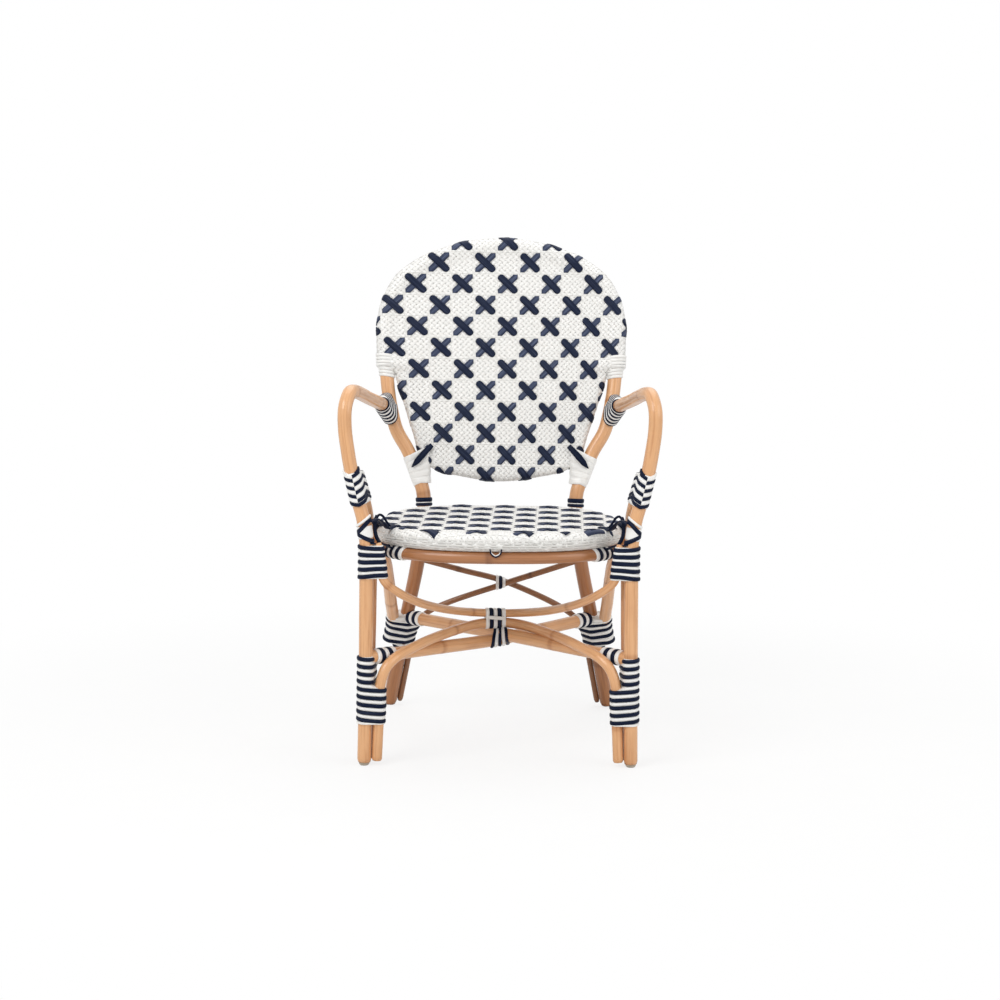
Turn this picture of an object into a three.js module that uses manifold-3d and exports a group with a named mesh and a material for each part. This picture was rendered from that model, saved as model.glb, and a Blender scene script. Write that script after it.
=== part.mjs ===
// A rattan bistro armchair: bent poles, a woven seat and back, and strips bound round every joint.
// Millimetres, +Z up, the front of the chair faces -Y, and the floor is z = 0.
import * as THREE from "three";
import { mergeVertices } from "three/addons/utils/BufferGeometryUtils.js";
import Module from "manifold-3d";

const wasm = await Module();
wasm.setup();

// Overall sizes.
const SEAT_HEIGHT = 440; // top of the woven seat
const SEAT_WIDTH = 474;
const SEAT_DEPTH = 443;
const SEAT_OVERHANG = 31; // how far the seat stands out in front of the front legs
const ARM_RISE = 254; // middle of the arm pole at its front bend, above the seat
const ARM_SPREAD = 573; // between the middles of the arms at their widest
const LEG_STAND_OUT = 18; // how much wider the front legs stand than the seat
const FOOT_SPLAY = 3; // how far each front foot stands out from its leg
const REAR_FOOT_SPREAD = 458;
const REAR_FOOT_DEPTH = 553; // rear feet behind the front legs
const POST_SPREAD = 308; // between the rear posts where they pass the seat
const POST_DEPTH = 430; // rear posts behind the front legs at the seat
const BACK_RISE = 518; // middle of the arch pole at its crown, above the seat
const BACK_SPREAD = 473; // between the middles of the arch pole at its widest
const RECLINE_SHARE = 0.22; // how far the back leans for each step up
const PANEL_FOOT = 57; // lowest bar of the back panel above the seat

// Poles, as radii.
const LEG_RADIUS = 13;
const POST_RADIUS = 14;
const RAIL_RADIUS = 11;
const FRONT_RAIL_RADIUS = 11.5;
const BRACE_RADIUS = 12;
const LOWER_ARCH_RADIUS = 9.75;
const UPPER_ARCH_RADIUS = 8;
const STRETCHER_RADIUS = 12.5;
const ROD_RADIUS = 6;
const SEAT_HOOP_RADIUS = 13;
const BACK_HOOP_RADIUS = 8;
const SLAT_RADIUS = 7;

// Weave and bindings.
const WEAVE_WALL = 4;
const SEAT_WEB = 8; // thickness of the woven seat between its hoop
const RIM_OPENING = 10; // bare width of the seat's hoop along its underside, where the weave is tucked in
const BACK_WEB = 22; // a front and a back layer of weave with air between
const BACK_CELL = 44; // one square of the navy pattern
const SEAT_CELL_WIDTH = 43;
const SEAT_CELL_DEPTH = 42;
const SEAT_ROW_SHIFT = 1; // each row of squares sits this far right of the one before it
const STRAND_WIDTH = 13; // a navy strand
const STRAND_RISE = 1.8; // how far the navy strands stand out of the weave
const STRAND_MARGIN = 38; // they end this far from the seat's edge
const BACK_STRAND_SHARE = 0.94; // and reach this far out towards the back's hoop
const BACK_CROSS_OFFSET = 31.5; // the back's uppermost whole cross is this far left of the middle
const BACK_CROSS_DROP = 37.5; // and this far below the arch's crown
const SEAT_CROSS_DEPTH = 39; // the seat's first middle cross is this far behind the front legs
const BINDING_WALL = 2.5;
const STRIP_THICK = 1.2;
const CLEARANCE = 0.3; // left between pieces that touch
const STRIP_CLEARANCE = 0.8; // between a binding and the strip wound over it
const UPPER_STRIP_WIDTH = 7.5;
const UPPER_STRIP_PITCH = 12.6;
const LOWER_STRIP_WIDTH = 8;
const LOWER_STRIP_PITCH = 13;

// Heights of the joints on the front legs.
const UPPER_BINDING_DROP = 87; // its foot, below the seat
const UPPER_BINDING_HEIGHT = 61.5;
const LOWER_BINDING_FOOT = 79;
const LOWER_BINDING_HEIGHT = 127;
const ARCH_RELEASE = 75; // the lower arch leaves the leg this far up its binding
const ARCH_BINDING_HEIGHT = 69; // how far up its foot is bound in
const STRETCHER_HEIGHT = 203; // at the front legs
const STRETCHER_FALL = 6; // how much lower the stretchers are at the rear legs
const STRETCHER_LAP = 6; // how far each stretcher is off the middle at their crossing
const CROSSING_HEIGHT = 197.5;
const CROSSING_DEPTH = 262; // where arches and stretchers meet behind the front legs
const REAR_BINDING_FOOT = 132;
const REAR_BINDING_HEIGHT = 76;
const ROD_CROSSING_HEIGHT = 273.6;
const RAIL_BEND_DEPTH = 62; // how far back a side rail's bend under the seat reaches
const RAIL_BEND_DROP = 45; // and how far below the rail it starts
const ROD_CROSSING_OFFSET = 15; // the rear rods cross this far right of the middle
const ARCH_ROOT_LEAN = 9; // they lean in by this much down to their bindings' feet
const ARCH_ROOT_RISE = 4; // the upper arch's roots reach this far above their bindings
const BRACE_RISE = 108; // the braces' tops above the seat
const ARM_BINDING_HEIGHT = 71;
const ARM_BINDING_LAP = 10; // how far it reaches above the brace's top

// Feet and small pieces.
const GLIDE_HEIGHT = 6;
const GLIDE_RADIUS = 10;
const GLIDE_FLAT_RADIUS = 7;
const SHORT_POLE_GAP = 9; // doubling poles end this far above the floor
const COLLAR_LENGTH = 34;
const RAIL_COLLAR_LENGTH = 24;
const ZONE_LAP = 0.04; // where a binding widens to take in one more pole
const LOWER_STRIP_MARGIN = 5.7; // white left below the last turn of a lower winding
const STRETCHER_DODGE = 8; // how much further a lower winding drops to pass under its stretcher
const ARM_COLLAR_LENGTH = 38;
const POST_COLLAR_RISE = 30; // above the seat
const POST_COLLAR_HEIGHT = 35;
const POST_CUFF_HEIGHT = 24;
const POST_BASE_HEIGHT = 11;
const CENTRE_BINDING_LEFT = 26.5;
const CENTRE_BINDING_RIGHT = 13;
const CROSS_BINDING_HALF = 20;
const ROD_BINDING_HALF = 10;
const ROD_BINDING_OFFSET = 12; // the rods' binding sits this far left of their crossing
const LASHING_RADIUS = 5;
const LASHING_HEIGHT = 34;
const TIE_RADIUS = 1.3;
const TIE_WIDTH = 22;
const TIE_DROP = 8;
const TIE_OFFSET = 6; // left of the middle

// How finely round shapes are drawn, as counts.
const POLE_SIDES = 8;
const THIN_SIDES = 6;
const HOOP_SIDES = 6;
const PANEL_SIDES = 8;
const STRAIGHT_RUN = 110; // a step for this much length
const BEND_ANGLE = Math.PI / 9; // and a step for this much bend
const HOOP_STEPS = 24;
const OUTLINE_SIDES = 8;
const SEARCH_STEPS = 400;
const MERGE_DISTANCE = 1e-4;

const armHeight = SEAT_HEIGHT + ARM_RISE;
const backHeight = SEAT_HEIGHT + BACK_RISE;
const braceTop = SEAT_HEIGHT + BRACE_RISE;
const armBindingFoot = braceTop + ARM_BINDING_LAP - ARM_BINDING_HEIGHT;
const upperBindingFoot = SEAT_HEIGHT - UPPER_BINDING_DROP;
const legHalf = (SEAT_WIDTH + LEG_STAND_OUT) / 2;
const armHalf = ARM_SPREAD / 2;
const postHalf = POST_SPREAD / 2;
const backHalf = BACK_SPREAD / 2;
const rearFootHalf = REAR_FOOT_SPREAD / 2;
const rimRadius = SEAT_HOOP_RADIUS + WEAVE_WALL;
const hoopHeight = SEAT_HEIGHT - rimRadius;
const rimFoot = hoopHeight - rimRadius;
const railHeight = rimFoot - CLEARANCE - RAIL_RADIUS;
const frontRailHeight = rimFoot - CLEARANCE - FRONT_RAIL_RADIUS;
const poleFoot = GLIDE_HEIGHT + CLEARANCE;

const outward = new THREE.Vector3(1, 0, 0);
const backward = new THREE.Vector3(0, 1, 0);
const up = new THREE.Vector3(0, 0, 1);

const mix = (from, to, share) => from + (to - from) * share;

// Turning meshes into solids and back.
function solidFrom(geometry) {
  const bare = geometry.clone();
  bare.deleteAttribute("normal");
  bare.deleteAttribute("uv");
  const merged = mergeVertices(bare, MERGE_DISTANCE);
  const mesh = new wasm.Mesh({
    numProp: 3,
    vertProperties: merged.attributes.position.array,
    triVerts: new Uint32Array(merged.index.array),
  });
  return new wasm.Manifold(mesh);
}

function geometryFrom(solid) {
  const mesh = solid.getMesh();
  const geometry = new THREE.BufferGeometry();
  geometry.setAttribute("position", new THREE.BufferAttribute(mesh.vertProperties, 3));
  geometry.setIndex(new THREE.BufferAttribute(mesh.triVerts, 1));
  geometry.computeVertexNormals();
  return geometry;
}

// Cutting a piece to its neighbours can leave a chip loose: the piece is the largest body.
function largestBody(solid) {
  const bodies = solid.decompose();
  return bodies.reduce((best, body) => (body.volume() > best.volume() ? body : best));
}

function cutBy(solid, neighbours) {
  const cut = neighbours.reduce((rest, neighbour) => rest.subtract(neighbour), solid);
  return largestBody(cut);
}

// Everything under a level, for sawing the poles' feet off flat.
function under(level) {
  const block = new THREE.BoxGeometry(SEAT_WIDTH * 2, SEAT_DEPTH * 4, SEAT_HEIGHT);
  return solidFrom(block.translate(0, 0, level - SEAT_HEIGHT / 2));
}

// A pole's route through the points given. Steps along it go to length and to bends alike,
// so a straight run gets few of them and a tight bend enough.
class Route extends THREE.CatmullRomCurve3 {
  constructor(points) {
    super(points, false, "centripetal");
    this.spent = [0];
    for (let i = 1; i <= SEARCH_STEPS; i++) {
      const before = (i - 1) / SEARCH_STEPS;
      const here = i / SEARCH_STEPS;
      const run = this.getPoint(before).distanceTo(this.getPoint(here));
      const bend = this.getTangent(before).angleTo(this.getTangent(here));
      this.spent.push(this.spent.at(-1) + run / STRAIGHT_RUN + bend / BEND_ANGLE);
    }
  }

  get stepCount() {
    return Math.max(2, Math.ceil(this.spent.at(-1)));
  }

  shareAt(step) {
    const sought = step * this.spent.at(-1);
    const after = Math.max(1, this.spent.findIndex((spent) => spent >= sought));
    const from = this.spent[after - 1];
    return Math.min(1, (after - 1 + (sought - from) / (this.spent[after] - from)) / SEARCH_STEPS);
  }

  getPointAt(step, target) {
    return this.getPoint(this.shareAt(step), target);
  }

  getTangentAt(step, target) {
    return this.getTangent(this.shareAt(step), target);
  }
}

function roundShape(radius, sides) {
  const shape = new THREE.Shape();
  for (let i = 0; i < sides; i++) {
    const turn = (i / sides) * Math.PI * 2;
    const x = Math.cos(turn) * radius;
    const y = Math.sin(turn) * radius;
    if (i === 0) shape.moveTo(x, y);
    else shape.lineTo(x, y);
  }
  shape.closePath();
  return shape;
}

class Pole {
  constructor(points, radius, sides = POLE_SIDES) {
    this.points = points;
    this.radius = radius;
    this.sides = sides;
    this.curve = new Route(points);
    this.steps = this.curve.stepCount;
  }

  tube(radius) {
    const options = { steps: this.steps, bevelEnabled: false, extrudePath: this.curve };
    return solidFrom(new THREE.ExtrudeGeometry(roundShape(radius, this.sides), options));
  }

  solid() {
    return this.tube(this.radius);
  }

  grown(extra = CLEARANCE) {
    return this.tube(this.radius + extra);
  }
}

// A closed hoop through the points given.
class Hoop {
  constructor(points, radius, sides = HOOP_SIDES, steps = HOOP_STEPS) {
    this.radius = radius;
    this.sides = sides;
    this.steps = steps;
    this.curve = new THREE.CatmullRomCurve3(points, true, "centripetal");
  }

  tube(radius) {
    return solidFrom(new THREE.TubeGeometry(this.curve, this.steps, radius, this.sides, true));
  }

  solid() {
    return this.tube(this.radius);
  }

  grown(extra = CLEARANCE) {
    return this.tube(this.radius + extra);
  }
}

// Where a pole's middle line passes through a plane, nearest to the plane's origin.
function crossing(pole, origin, normal) {
  let best = null;
  let before = pole.curve.getPoint(0);
  let beforeSide = before.clone().sub(origin).dot(normal);
  for (let i = 1; i <= SEARCH_STEPS; i++) {
    const here = pole.curve.getPoint(i / SEARCH_STEPS);
    const side = here.clone().sub(origin).dot(normal);
    if (side * beforeSide <= 0 && side !== beforeSide) {
      const point = before.clone().lerp(here, beforeSide / (beforeSide - side));
      if (!best || point.distanceTo(origin) < best.distanceTo(origin)) best = point;
    }
    before = here;
    beforeSide = side;
  }
  return best;
}

// The frame across a pole where it passes a given place along an axis, such as a height.
function frameOn(pole, axis, place, reference) {
  let at = 0;
  let least = Infinity;
  for (let i = 0; i <= SEARCH_STEPS; i++) {
    const off = Math.abs(pole.curve.getPoint(i / SEARCH_STEPS)[axis] - place);
    if (off < least) {
      least = off;
      at = i / SEARCH_STEPS;
    }
  }
  return frameAt(pole, at, reference);
}

function frameAt(pole, share, reference) {
  const origin = pole.curve.getPoint(share);
  const normal = pole.curve.getTangent(share).normalize();
  const across = normal.clone().cross(reference).normalize();
  const along = across.clone().cross(normal).normalize();
  return { origin, normal, along, across };
}

// The taut outline round several poles in one plane, as a strip bound round them would lie.
function outlineRound(frame, poles, wall, sides) {
  const circles = poles.map((pole) => ({
    middle: crossing(pole, frame.origin, frame.normal) ?? frame.origin,
    radius: pole.radius + wall,
  }));
  const points = [];
  for (let i = 0; i < sides; i++) {
    const turn = (i / sides) * Math.PI * 2;
    const way = frame.along.clone().multiplyScalar(Math.cos(turn));
    way.addScaledVector(frame.across, Math.sin(turn));
    let furthest = null;
    let reach = -Infinity;
    for (const circle of circles) {
      const here = circle.middle.clone().sub(frame.origin).dot(way) + circle.radius;
      if (here > reach) {
        reach = here;
        furthest = circle;
      }
    }
    points.push(furthest.middle.clone().addScaledVector(way, furthest.radius));
  }
  return points;
}

// A closed solid through rings of points, each ring with as many points as the next.
function loft(rings) {
  const count = rings[0].length;
  const positions = rings.flat().flatMap((point) => [point.x, point.y, point.z]);
  const faces = [];
  for (let ring = 0; ring + 1 < rings.length; ring++)
    for (let i = 0; i < count; i++) {
      const next = (i + 1) % count;
      const a = ring * count + i;
      const b = ring * count + next;
      faces.push(a, b, b + count, a, b + count, a + count);
    }
  const last = (rings.length - 1) * count;
  for (let i = 1; i + 1 < count; i++) {
    faces.push(0, i + 1, i);
    faces.push(last, last + i, last + i + 1);
  }
  const geometry = new THREE.BufferGeometry();
  geometry.setAttribute("position", new THREE.Float32BufferAttribute(positions, 3));
  geometry.setIndex(faces);
  const solid = solidFrom(geometry);
  return solid.volume() < 0 ? solidFrom(turnedOut(geometry)) : solid;
}

function turnedOut(geometry) {
  const faces = Array.from(geometry.index.array);
  for (let i = 0; i < faces.length; i += 3) [faces[i + 1], faces[i + 2]] = [faces[i + 2], faces[i + 1]];
  geometry.setIndex(faces);
  return geometry;
}

// The outside of a binding: a loft round its poles between two places along an axis.
function bindingBlank({ guide, axis, from, to, poles, reference, wall = BINDING_WALL, stations = 3 }) {
  const rings = [];
  for (let i = 0; i < stations; i++) {
    const place = mix(from, to, i / (stations - 1));
    const frame = frameOn(guide, axis, place, reference);
    rings.push(outlineRound(frame, poles, wall + CLEARANCE, OUTLINE_SIDES));
  }
  return loft(rings);
}

function binding(blank, poles, others = []) {
  return cutBy(blank, [...poles.map((pole) => pole.grown()), ...others]);
}

// A strip wound round a leg and what is bound to it, as one unbroken spiral going down.
// Its corners follow the corners of the binding below it, so it lies flat on it.
function winding({ zones, top, turns, lead, pitch, width, dodge = 0 }) {
  const rings = [];
  const steps = Math.round(turns * OUTLINE_SIDES);
  const first = Math.round(lead * OUTLINE_SIDES);
  const inner = BINDING_WALL + CLEARANCE + STRIP_CLEARANCE;
  for (let i = 0; i <= steps; i++) {
    const dodged = dodge * Math.min(1, i / OUTLINE_SIDES / DODGE_TURN_SHARE);
    const height = top - (i / OUTLINE_SIDES) * pitch - dodged;
    const step = i - first;
    const zone = zones.find((each) => step <= each.until);
    const corner = ((step % OUTLINE_SIDES) + OUTLINE_SIDES) % OUTLINE_SIDES;
    const share = (height - zone.from) / (zone.to - zone.from);
    const low = zone.ringAt(share, inner)[corner];
    const high = zone.ringAt(share, inner + STRIP_THICK)[corner];
    const rise = zone.ringAt(1, inner)[corner].sub(zone.ringAt(0, inner)[corner]);
    const half = rise.normalize().multiplyScalar(width / 2);
    const upperEdge = [high, low].map((point) => point.clone().add(half));
    const lowerEdge = [low, high].map((point) => point.clone().sub(half));
    rings.push([...upperEdge, ...lowerEdge]);
  }
  return { solid: loft(rings), gap: leastGap(rings) };
}

// The least distance between two turns of a strip, measured between its edge points.
function leastGap(rings) {
  const apart = OUTLINE_SIDES / 2;
  let least = Infinity;
  for (let i = 0; i < rings.length; i++)
    for (let j = i + apart; j < rings.length; j++)
      for (const a of rings[i]) for (const b of rings[j]) least = Math.min(least, a.distanceTo(b));
  return least;
}

// Places, from shares of the sizes they follow.
const seatFront = -SEAT_OVERHANG;
const onPanel = (x, height) =>
  new THREE.Vector3(x, POST_DEPTH + (height - SEAT_HEIGHT) * RECLINE_SHARE, height);

// Front leg and arm, one pole: up from the foot, out past the seat, round the bend and back to the post.
const LEG_RISE_SHARES = [0.18, 0.46, 0.8, 0.94];
const LEG_TURN_SHARES = [
  // out to the arm's spread, up from seat to arm
  [0.14, 0.08],
  [0.34, 0.2],
  [0.55, 0.34],
  [0.74, 0.47],
  [0.88, 0.6],
  [1, 0.75],
  [1, 0.9],
];
const ARM_RUN_SHARES = [
  // in from the arm's spread to the post, back to the post, down to the post
  [0.1, 0.05, 0],
  [0.2, 0.13, -0.02],
  [0.29, 0.24, 0.08],
  [0.48, 0.52, 0.4],
  [0.74, 0.8, 0.73],
  [0.97, 1, 1],
];
const ARM_END_SHARE = 0.365; // height of the arm's rear end between seat and crown

const armEndHeight = mix(SEAT_HEIGHT, backHeight, ARM_END_SHARE);
const armEnd = onPanel(0, armEndHeight);

function legX(height) {
  return legHalf + FOOT_SPLAY * (1 - height / SEAT_HEIGHT) ** 2;
}

function legArmRoute(side) {
  const points = [new THREE.Vector3(side * (legHalf + FOOT_SPLAY), 0, 0)];
  for (const share of LEG_RISE_SHARES)
    points.push(new THREE.Vector3(side * legX(SEAT_HEIGHT * share), 0, SEAT_HEIGHT * share));
  for (const [out, up] of LEG_TURN_SHARES) {
    const x = mix(legHalf, armHalf, out);
    points.push(new THREE.Vector3(side * x, 0, mix(SEAT_HEIGHT, armHeight, up)));
  }
  const inner = postAt(armEndHeight).x;
  for (const [into, back, down] of ARM_RUN_SHARES) {
    const x = mix(armHalf, inner, into);
    points.push(new THREE.Vector3(side * x, armEnd.y * back, mix(armHeight, armEndHeight, down)));
  }
  return points;
}

// Rear leg, post and arch, one pole from floor to floor.
const REAR_LEG_SHARES = [
  // up from floor to seat, out from post to foot, back from post to foot
  [0.24, 0.73, 0.66],
  [0.49, 0.44, 0.33],
  [0.72, 0.17, 0.09],
  [0.91, 0.02, 0.01],
];
const POST_SHARES = [
  // up from seat to crown, out from post to widest
  [0.04, 0.02],
  [0.115, 0.18],
  [0.2, 0.4],
  [0.283, 0.7],
  [0.367, 0.84],
  [0.44, 0.92],
  [0.56, 0.985],
  [0.68, 1],
  [0.76, 0.94],
];
const ARCH_SHARES = [
  // out from the middle to the widest, up from seat to crown
  [0.93, 0.815],
  [0.865, 0.862],
  [0.77, 0.9],
  [0.61, 0.942],
  [0.4, 0.975],
  [0.2, 0.994],
];

function postSide(side) {
  const points = [new THREE.Vector3(side * rearFootHalf, REAR_FOOT_DEPTH, 0)];
  for (const [up, out, back] of REAR_LEG_SHARES) {
    const x = mix(postHalf, rearFootHalf, out);
    points.push(new THREE.Vector3(side * x, mix(POST_DEPTH, REAR_FOOT_DEPTH, back), SEAT_HEIGHT * up));
  }
  for (const [up, out] of POST_SHARES) {
    const height = mix(SEAT_HEIGHT, backHeight, up);
    points.push(onPanel(side * mix(postHalf, backHalf, out), height));
  }
  for (const [out, up] of ARCH_SHARES)
    points.push(onPanel(side * backHalf * out, mix(SEAT_HEIGHT, backHeight, up)));
  return points;
}

function postAt(height) {
  const post = new Route(postSide(1));
  const frame = frameOn({ curve: post }, "z", height, backward);
  return frame.origin;
}

function archRoute() {
  return [...postSide(-1), onPanel(0, backHeight), ...postSide(1).reverse()];
}

// The seat's plan, from front middle round the right side to back middle, on the hoop's middle line.
const SEAT_SHARES = [
  // across from the middle, back from the front
  [0, 0],
  [0.42, 0.024],
  [0.66, 0.075],
  [0.84, 0.15],
  [0.955, 0.235],
  [1, 0.36],
  [0.99, 0.5],
  [0.945, 0.65],
  [0.845, 0.83],
  [0.69, 0.945],
  [0.46, 0.99],
];

function seatPlan(inset) {
  const half = SEAT_WIDTH / 2 - inset;
  const depth = SEAT_DEPTH - inset * 2;
  const place = ([x, y], side) => new THREE.Vector2(side * half * x, seatFront + inset + depth * y);
  const right = SEAT_SHARES.map((share) => place(share, 1));
  const left = SEAT_SHARES.slice(1).map((share) => place(share, -1));
  return [...right, place([0, 1], 1), ...left.reverse()];
}

// The widest place of the seat's outer edge, on the right.
function seatWidest() {
  return seatPlan(0).reduce((best, at) => (at.x > best.x ? at : best));
}

const seatHoopPoints = seatPlan(rimRadius).map((at) => new THREE.Vector3(at.x, at.y, hoopHeight));

// The doubling pole: up behind the front leg, bent back under the seat's side, to the rear post.
const RAIL_RISE_SHARES = [
  // up from the floor to the rail, and how much of its stand-off from the leg it has there
  [0, 0],
  [0.2, 0],
  [0.5, 0],
  [0.7, 0.6],
  [0.87, 1],
];
const RAIL_BEND_SHARES = [
  // towards the seat's side, back, and up over the bend
  [0.04, 0.06, 0.42],
  [0.25, 0.37, 0.84],
  [0.6, 0.76, 0.99],
];
const DOUBLER_ANGLE = 1.32; // which way the doubling pole lies from the leg, in radians from outward
// Room for the leg's own binding.
const standOff = BINDING_WALL + STRIP_CLEARANCE + STRIP_THICK + CLEARANCE * 2;

function sideRailRoute(side) {
  const beside = (height, apart) => {
    const reach = LEG_RADIUS + RAIL_RADIUS + CLEARANCE + apart;
    const x = legX(height) - reach * Math.cos(DOUBLER_ANGLE);
    return new THREE.Vector3(x, reach * Math.sin(DOUBLER_ANGLE), height);
  };
  const points = RAIL_RISE_SHARES.map(([rise, apart]) => beside(railHeight * rise, standOff * apart));
  const top = points.at(-1);
  const plan = seatPlan(rimRadius).slice(5, 10);
  for (const [into, back, rise] of RAIL_BEND_SHARES) {
    const z = mix(railHeight - RAIL_BEND_DROP, railHeight, rise);
    points.push(new THREE.Vector3(mix(top.x, plan[0].x, into), top.y + RAIL_BEND_DEPTH * back, z));
  }
  for (const at of plan) points.push(new THREE.Vector3(at.x, at.y, railHeight));
  points.push(new THREE.Vector3(postHalf, POST_DEPTH, railHeight));
  return points.map((point) => point.setX(side * point.x));
}

// The side brace: bound to the arm's upright, past the seat's side, down and back to the rear leg.
const BRACE_TURN_SHARES = [
  // in from beside the arm's upright to the seat's side, back to its widest place, down to its hoop
  [0.37, 0.013, 0.183],
  [0.73, 0.066, 0.383],
  [0.97, 0.327, 0.606],
  [1, 0.695, 0.815],
  [1, 1, 1],
];
const BRACE_FALL_SHARES = [
  // in from the seat's side to the rear leg, back to the rear leg, down to the rear leg
  [0.04, 0.064, 0.046],
  [0.36, 0.166, 0.16],
  [0.8, 0.305, 0.286],
  [0.935, 0.504, 0.478],
  [0.98, 0.753, 0.735],
];
const BRACE_FOOT_SHARES = [0.7, 0.2]; // where its foot lies beside the rear leg, up the binding there
const BRACE_BACK_ANGLE = 1.35;
const BRACE_FOOT_ANGLE = 0.28;

function sideBraceRoute(side, leg, post) {
  const reach = LEG_RADIUS + BRACE_RADIUS + CLEARANCE;
  const upright = crossing(leg, new THREE.Vector3(side * armHalf, 0, braceTop), up);
  const topX = Math.abs(upright.x) - reach * Math.cos(BRACE_BACK_ANGLE);
  const topY = upright.y + reach * Math.sin(BRACE_BACK_ANGLE);
  const grip = POST_RADIUS + BRACE_RADIUS + CLEARANCE;
  const footAt = (height) => {
    const on = crossing(post, new THREE.Vector3(side * rearFootHalf, POST_DEPTH, height), up);
    const x = Math.abs(on.x) + grip * Math.cos(BRACE_FOOT_ANGLE);
    return new THREE.Vector3(x, on.y - grip * Math.sin(BRACE_FOOT_ANGLE), height);
  };
  const feet = BRACE_FOOT_SHARES.map((share) => footAt(REAR_BINDING_FOOT + REAR_BINDING_HEIGHT * share));
  const top = new THREE.Vector3(topX, topY, braceTop);
  const widest = seatWidest();
  const beside = new THREE.Vector3(widest.x + BRACE_RADIUS + CLEARANCE, widest.y, hoopHeight);
  const between = (from, to, shares) =>
    shares.map(
      ([into, back, down]) =>
        new THREE.Vector3(mix(from.x, to.x, into), mix(from.y, to.y, back), mix(from.z, to.z, down)),
    );
  const turn = between(top, beside, BRACE_TURN_SHARES);
  const fall = between(beside, feet[0], BRACE_FALL_SHARES);
  return [top, ...turn, ...fall, ...feet].map((point) => point.setX(side * point.x));
}

// The lower front arch: a foot beside each leg, bowing back to the crossing of the stretchers.
const LOWER_FOOT_SHARES = [0, 0.35, 0.7, 1];
const LOWER_ARCH_SHARES = [
  // in from the foot to the middle, back to the crossing, up from the release to the crown
  [0.045, 0.02, 0.4],
  [0.12, 0.07, 0.63],
  [0.28, 0.25, 0.81],
  [0.485, 0.53, 0.925],
  [0.73, 0.85, 0.98],
  [0.87, 0.965, 0.995],
];

function lowerArchRoute() {
  const beside = LEG_RADIUS + LOWER_ARCH_RADIUS + CLEARANCE;
  const release = LOWER_BINDING_FOOT + ARCH_RELEASE;
  const footX = legHalf + FOOT_SPLAY - beside;
  const releaseX = legX(release) - beside - standOff;
  const half = (side) => {
    const points = LOWER_FOOT_SHARES.map(
      (share) => new THREE.Vector3(side * mix(footX, releaseX, share), 0, release * share),
    );
    for (const [into, back, rise] of LOWER_ARCH_SHARES) {
      const x = releaseX * (1 - into);
      points.push(new THREE.Vector3(side * x, CROSSING_DEPTH * back, mix(release, lowerCrown, rise)));
    }
    return points;
  };
  return [...half(-1), new THREE.Vector3(0, CROSSING_DEPTH, lowerCrown), ...half(1).reverse()];
}

// The upper front arch hangs from the bindings under the seat and rests on the lower one.
const UPPER_ROOT_SHARES = [0, 0.33, 0.67, 1]; // down the part that is bound in
const UPPER_ARCH_SHARES = [
  // in from the binding's foot to the middle, back to the crossing, down from there to the crown
  [0.05, 0.022, 0.141],
  [0.135, 0.076, 0.281],
  [0.297, 0.26, 0.516],
  [0.542, 0.61, 0.781],
  [0.771, 0.9, 0.945],
  [0.885, 0.975, 0.984],
];

function upperArchRoute(leg) {
  const beside = LEG_RADIUS + UPPER_ARCH_RADIUS + CLEARANCE;
  const rootZ = upperBindingFoot + UPPER_BINDING_HEIGHT + ARCH_ROOT_RISE;
  const foot = new THREE.Vector3(-beside - ARCH_ROOT_LEAN, 0, 0).add(legAt(leg, upperBindingFoot));
  const root = new THREE.Vector3(-beside, 0, 0).add(legAt(leg, rootZ));
  const half = (side) => {
    const points = UPPER_ROOT_SHARES.map((share) => root.clone().lerp(foot, share));
    for (const [into, back, down] of UPPER_ARCH_SHARES) {
      const z = mix(foot.z, upperCrown, down);
      points.push(new THREE.Vector3(foot.x * (1 - into), CROSSING_DEPTH * back, z));
    }
    return points.map((point) => point.setX(side * point.x));
  };
  return [...half(-1), new THREE.Vector3(0, CROSSING_DEPTH, upperCrown), ...half(1).reverse()];
}

// The middle of a right front leg at a height.
function legAt(leg, height) {
  return crossing(leg, new THREE.Vector3(legHalf, 0, height), up);
}

const lowerCrown = CROSSING_HEIGHT + STRETCHER_LAP + STRETCHER_RADIUS + LOWER_ARCH_RADIUS + CLEARANCE;
const upperCrown = lowerCrown + LOWER_ARCH_RADIUS + UPPER_ARCH_RADIUS + CLEARANCE;

// A stretcher runs from a front leg to the rear leg across from it.
function stretcherRoute(side, lap) {
  const front = new THREE.Vector3(side * legHalf, 0, STRETCHER_HEIGHT);
  const rearHeight = STRETCHER_HEIGHT - STRETCHER_FALL;
  const rear = postAt(rearHeight).setX(-side * postAt(rearHeight).x);
  const share = front.x / (front.x - rear.x);
  const middle = front.clone().lerp(rear, share).setZ(CROSSING_HEIGHT + lap);
  return [front, front.clone().lerp(middle, 0.5), middle, middle.clone().lerp(rear, 0.5), rear];
}

// A rear rod: along its own rear leg, then across to the other post.
const ROD_LEG_SHARES = [0.5, 0.82];
const ROD_TOP_SHARE = 0.8; // its end above the crossing, over its rise from the rear leg to there

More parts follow.
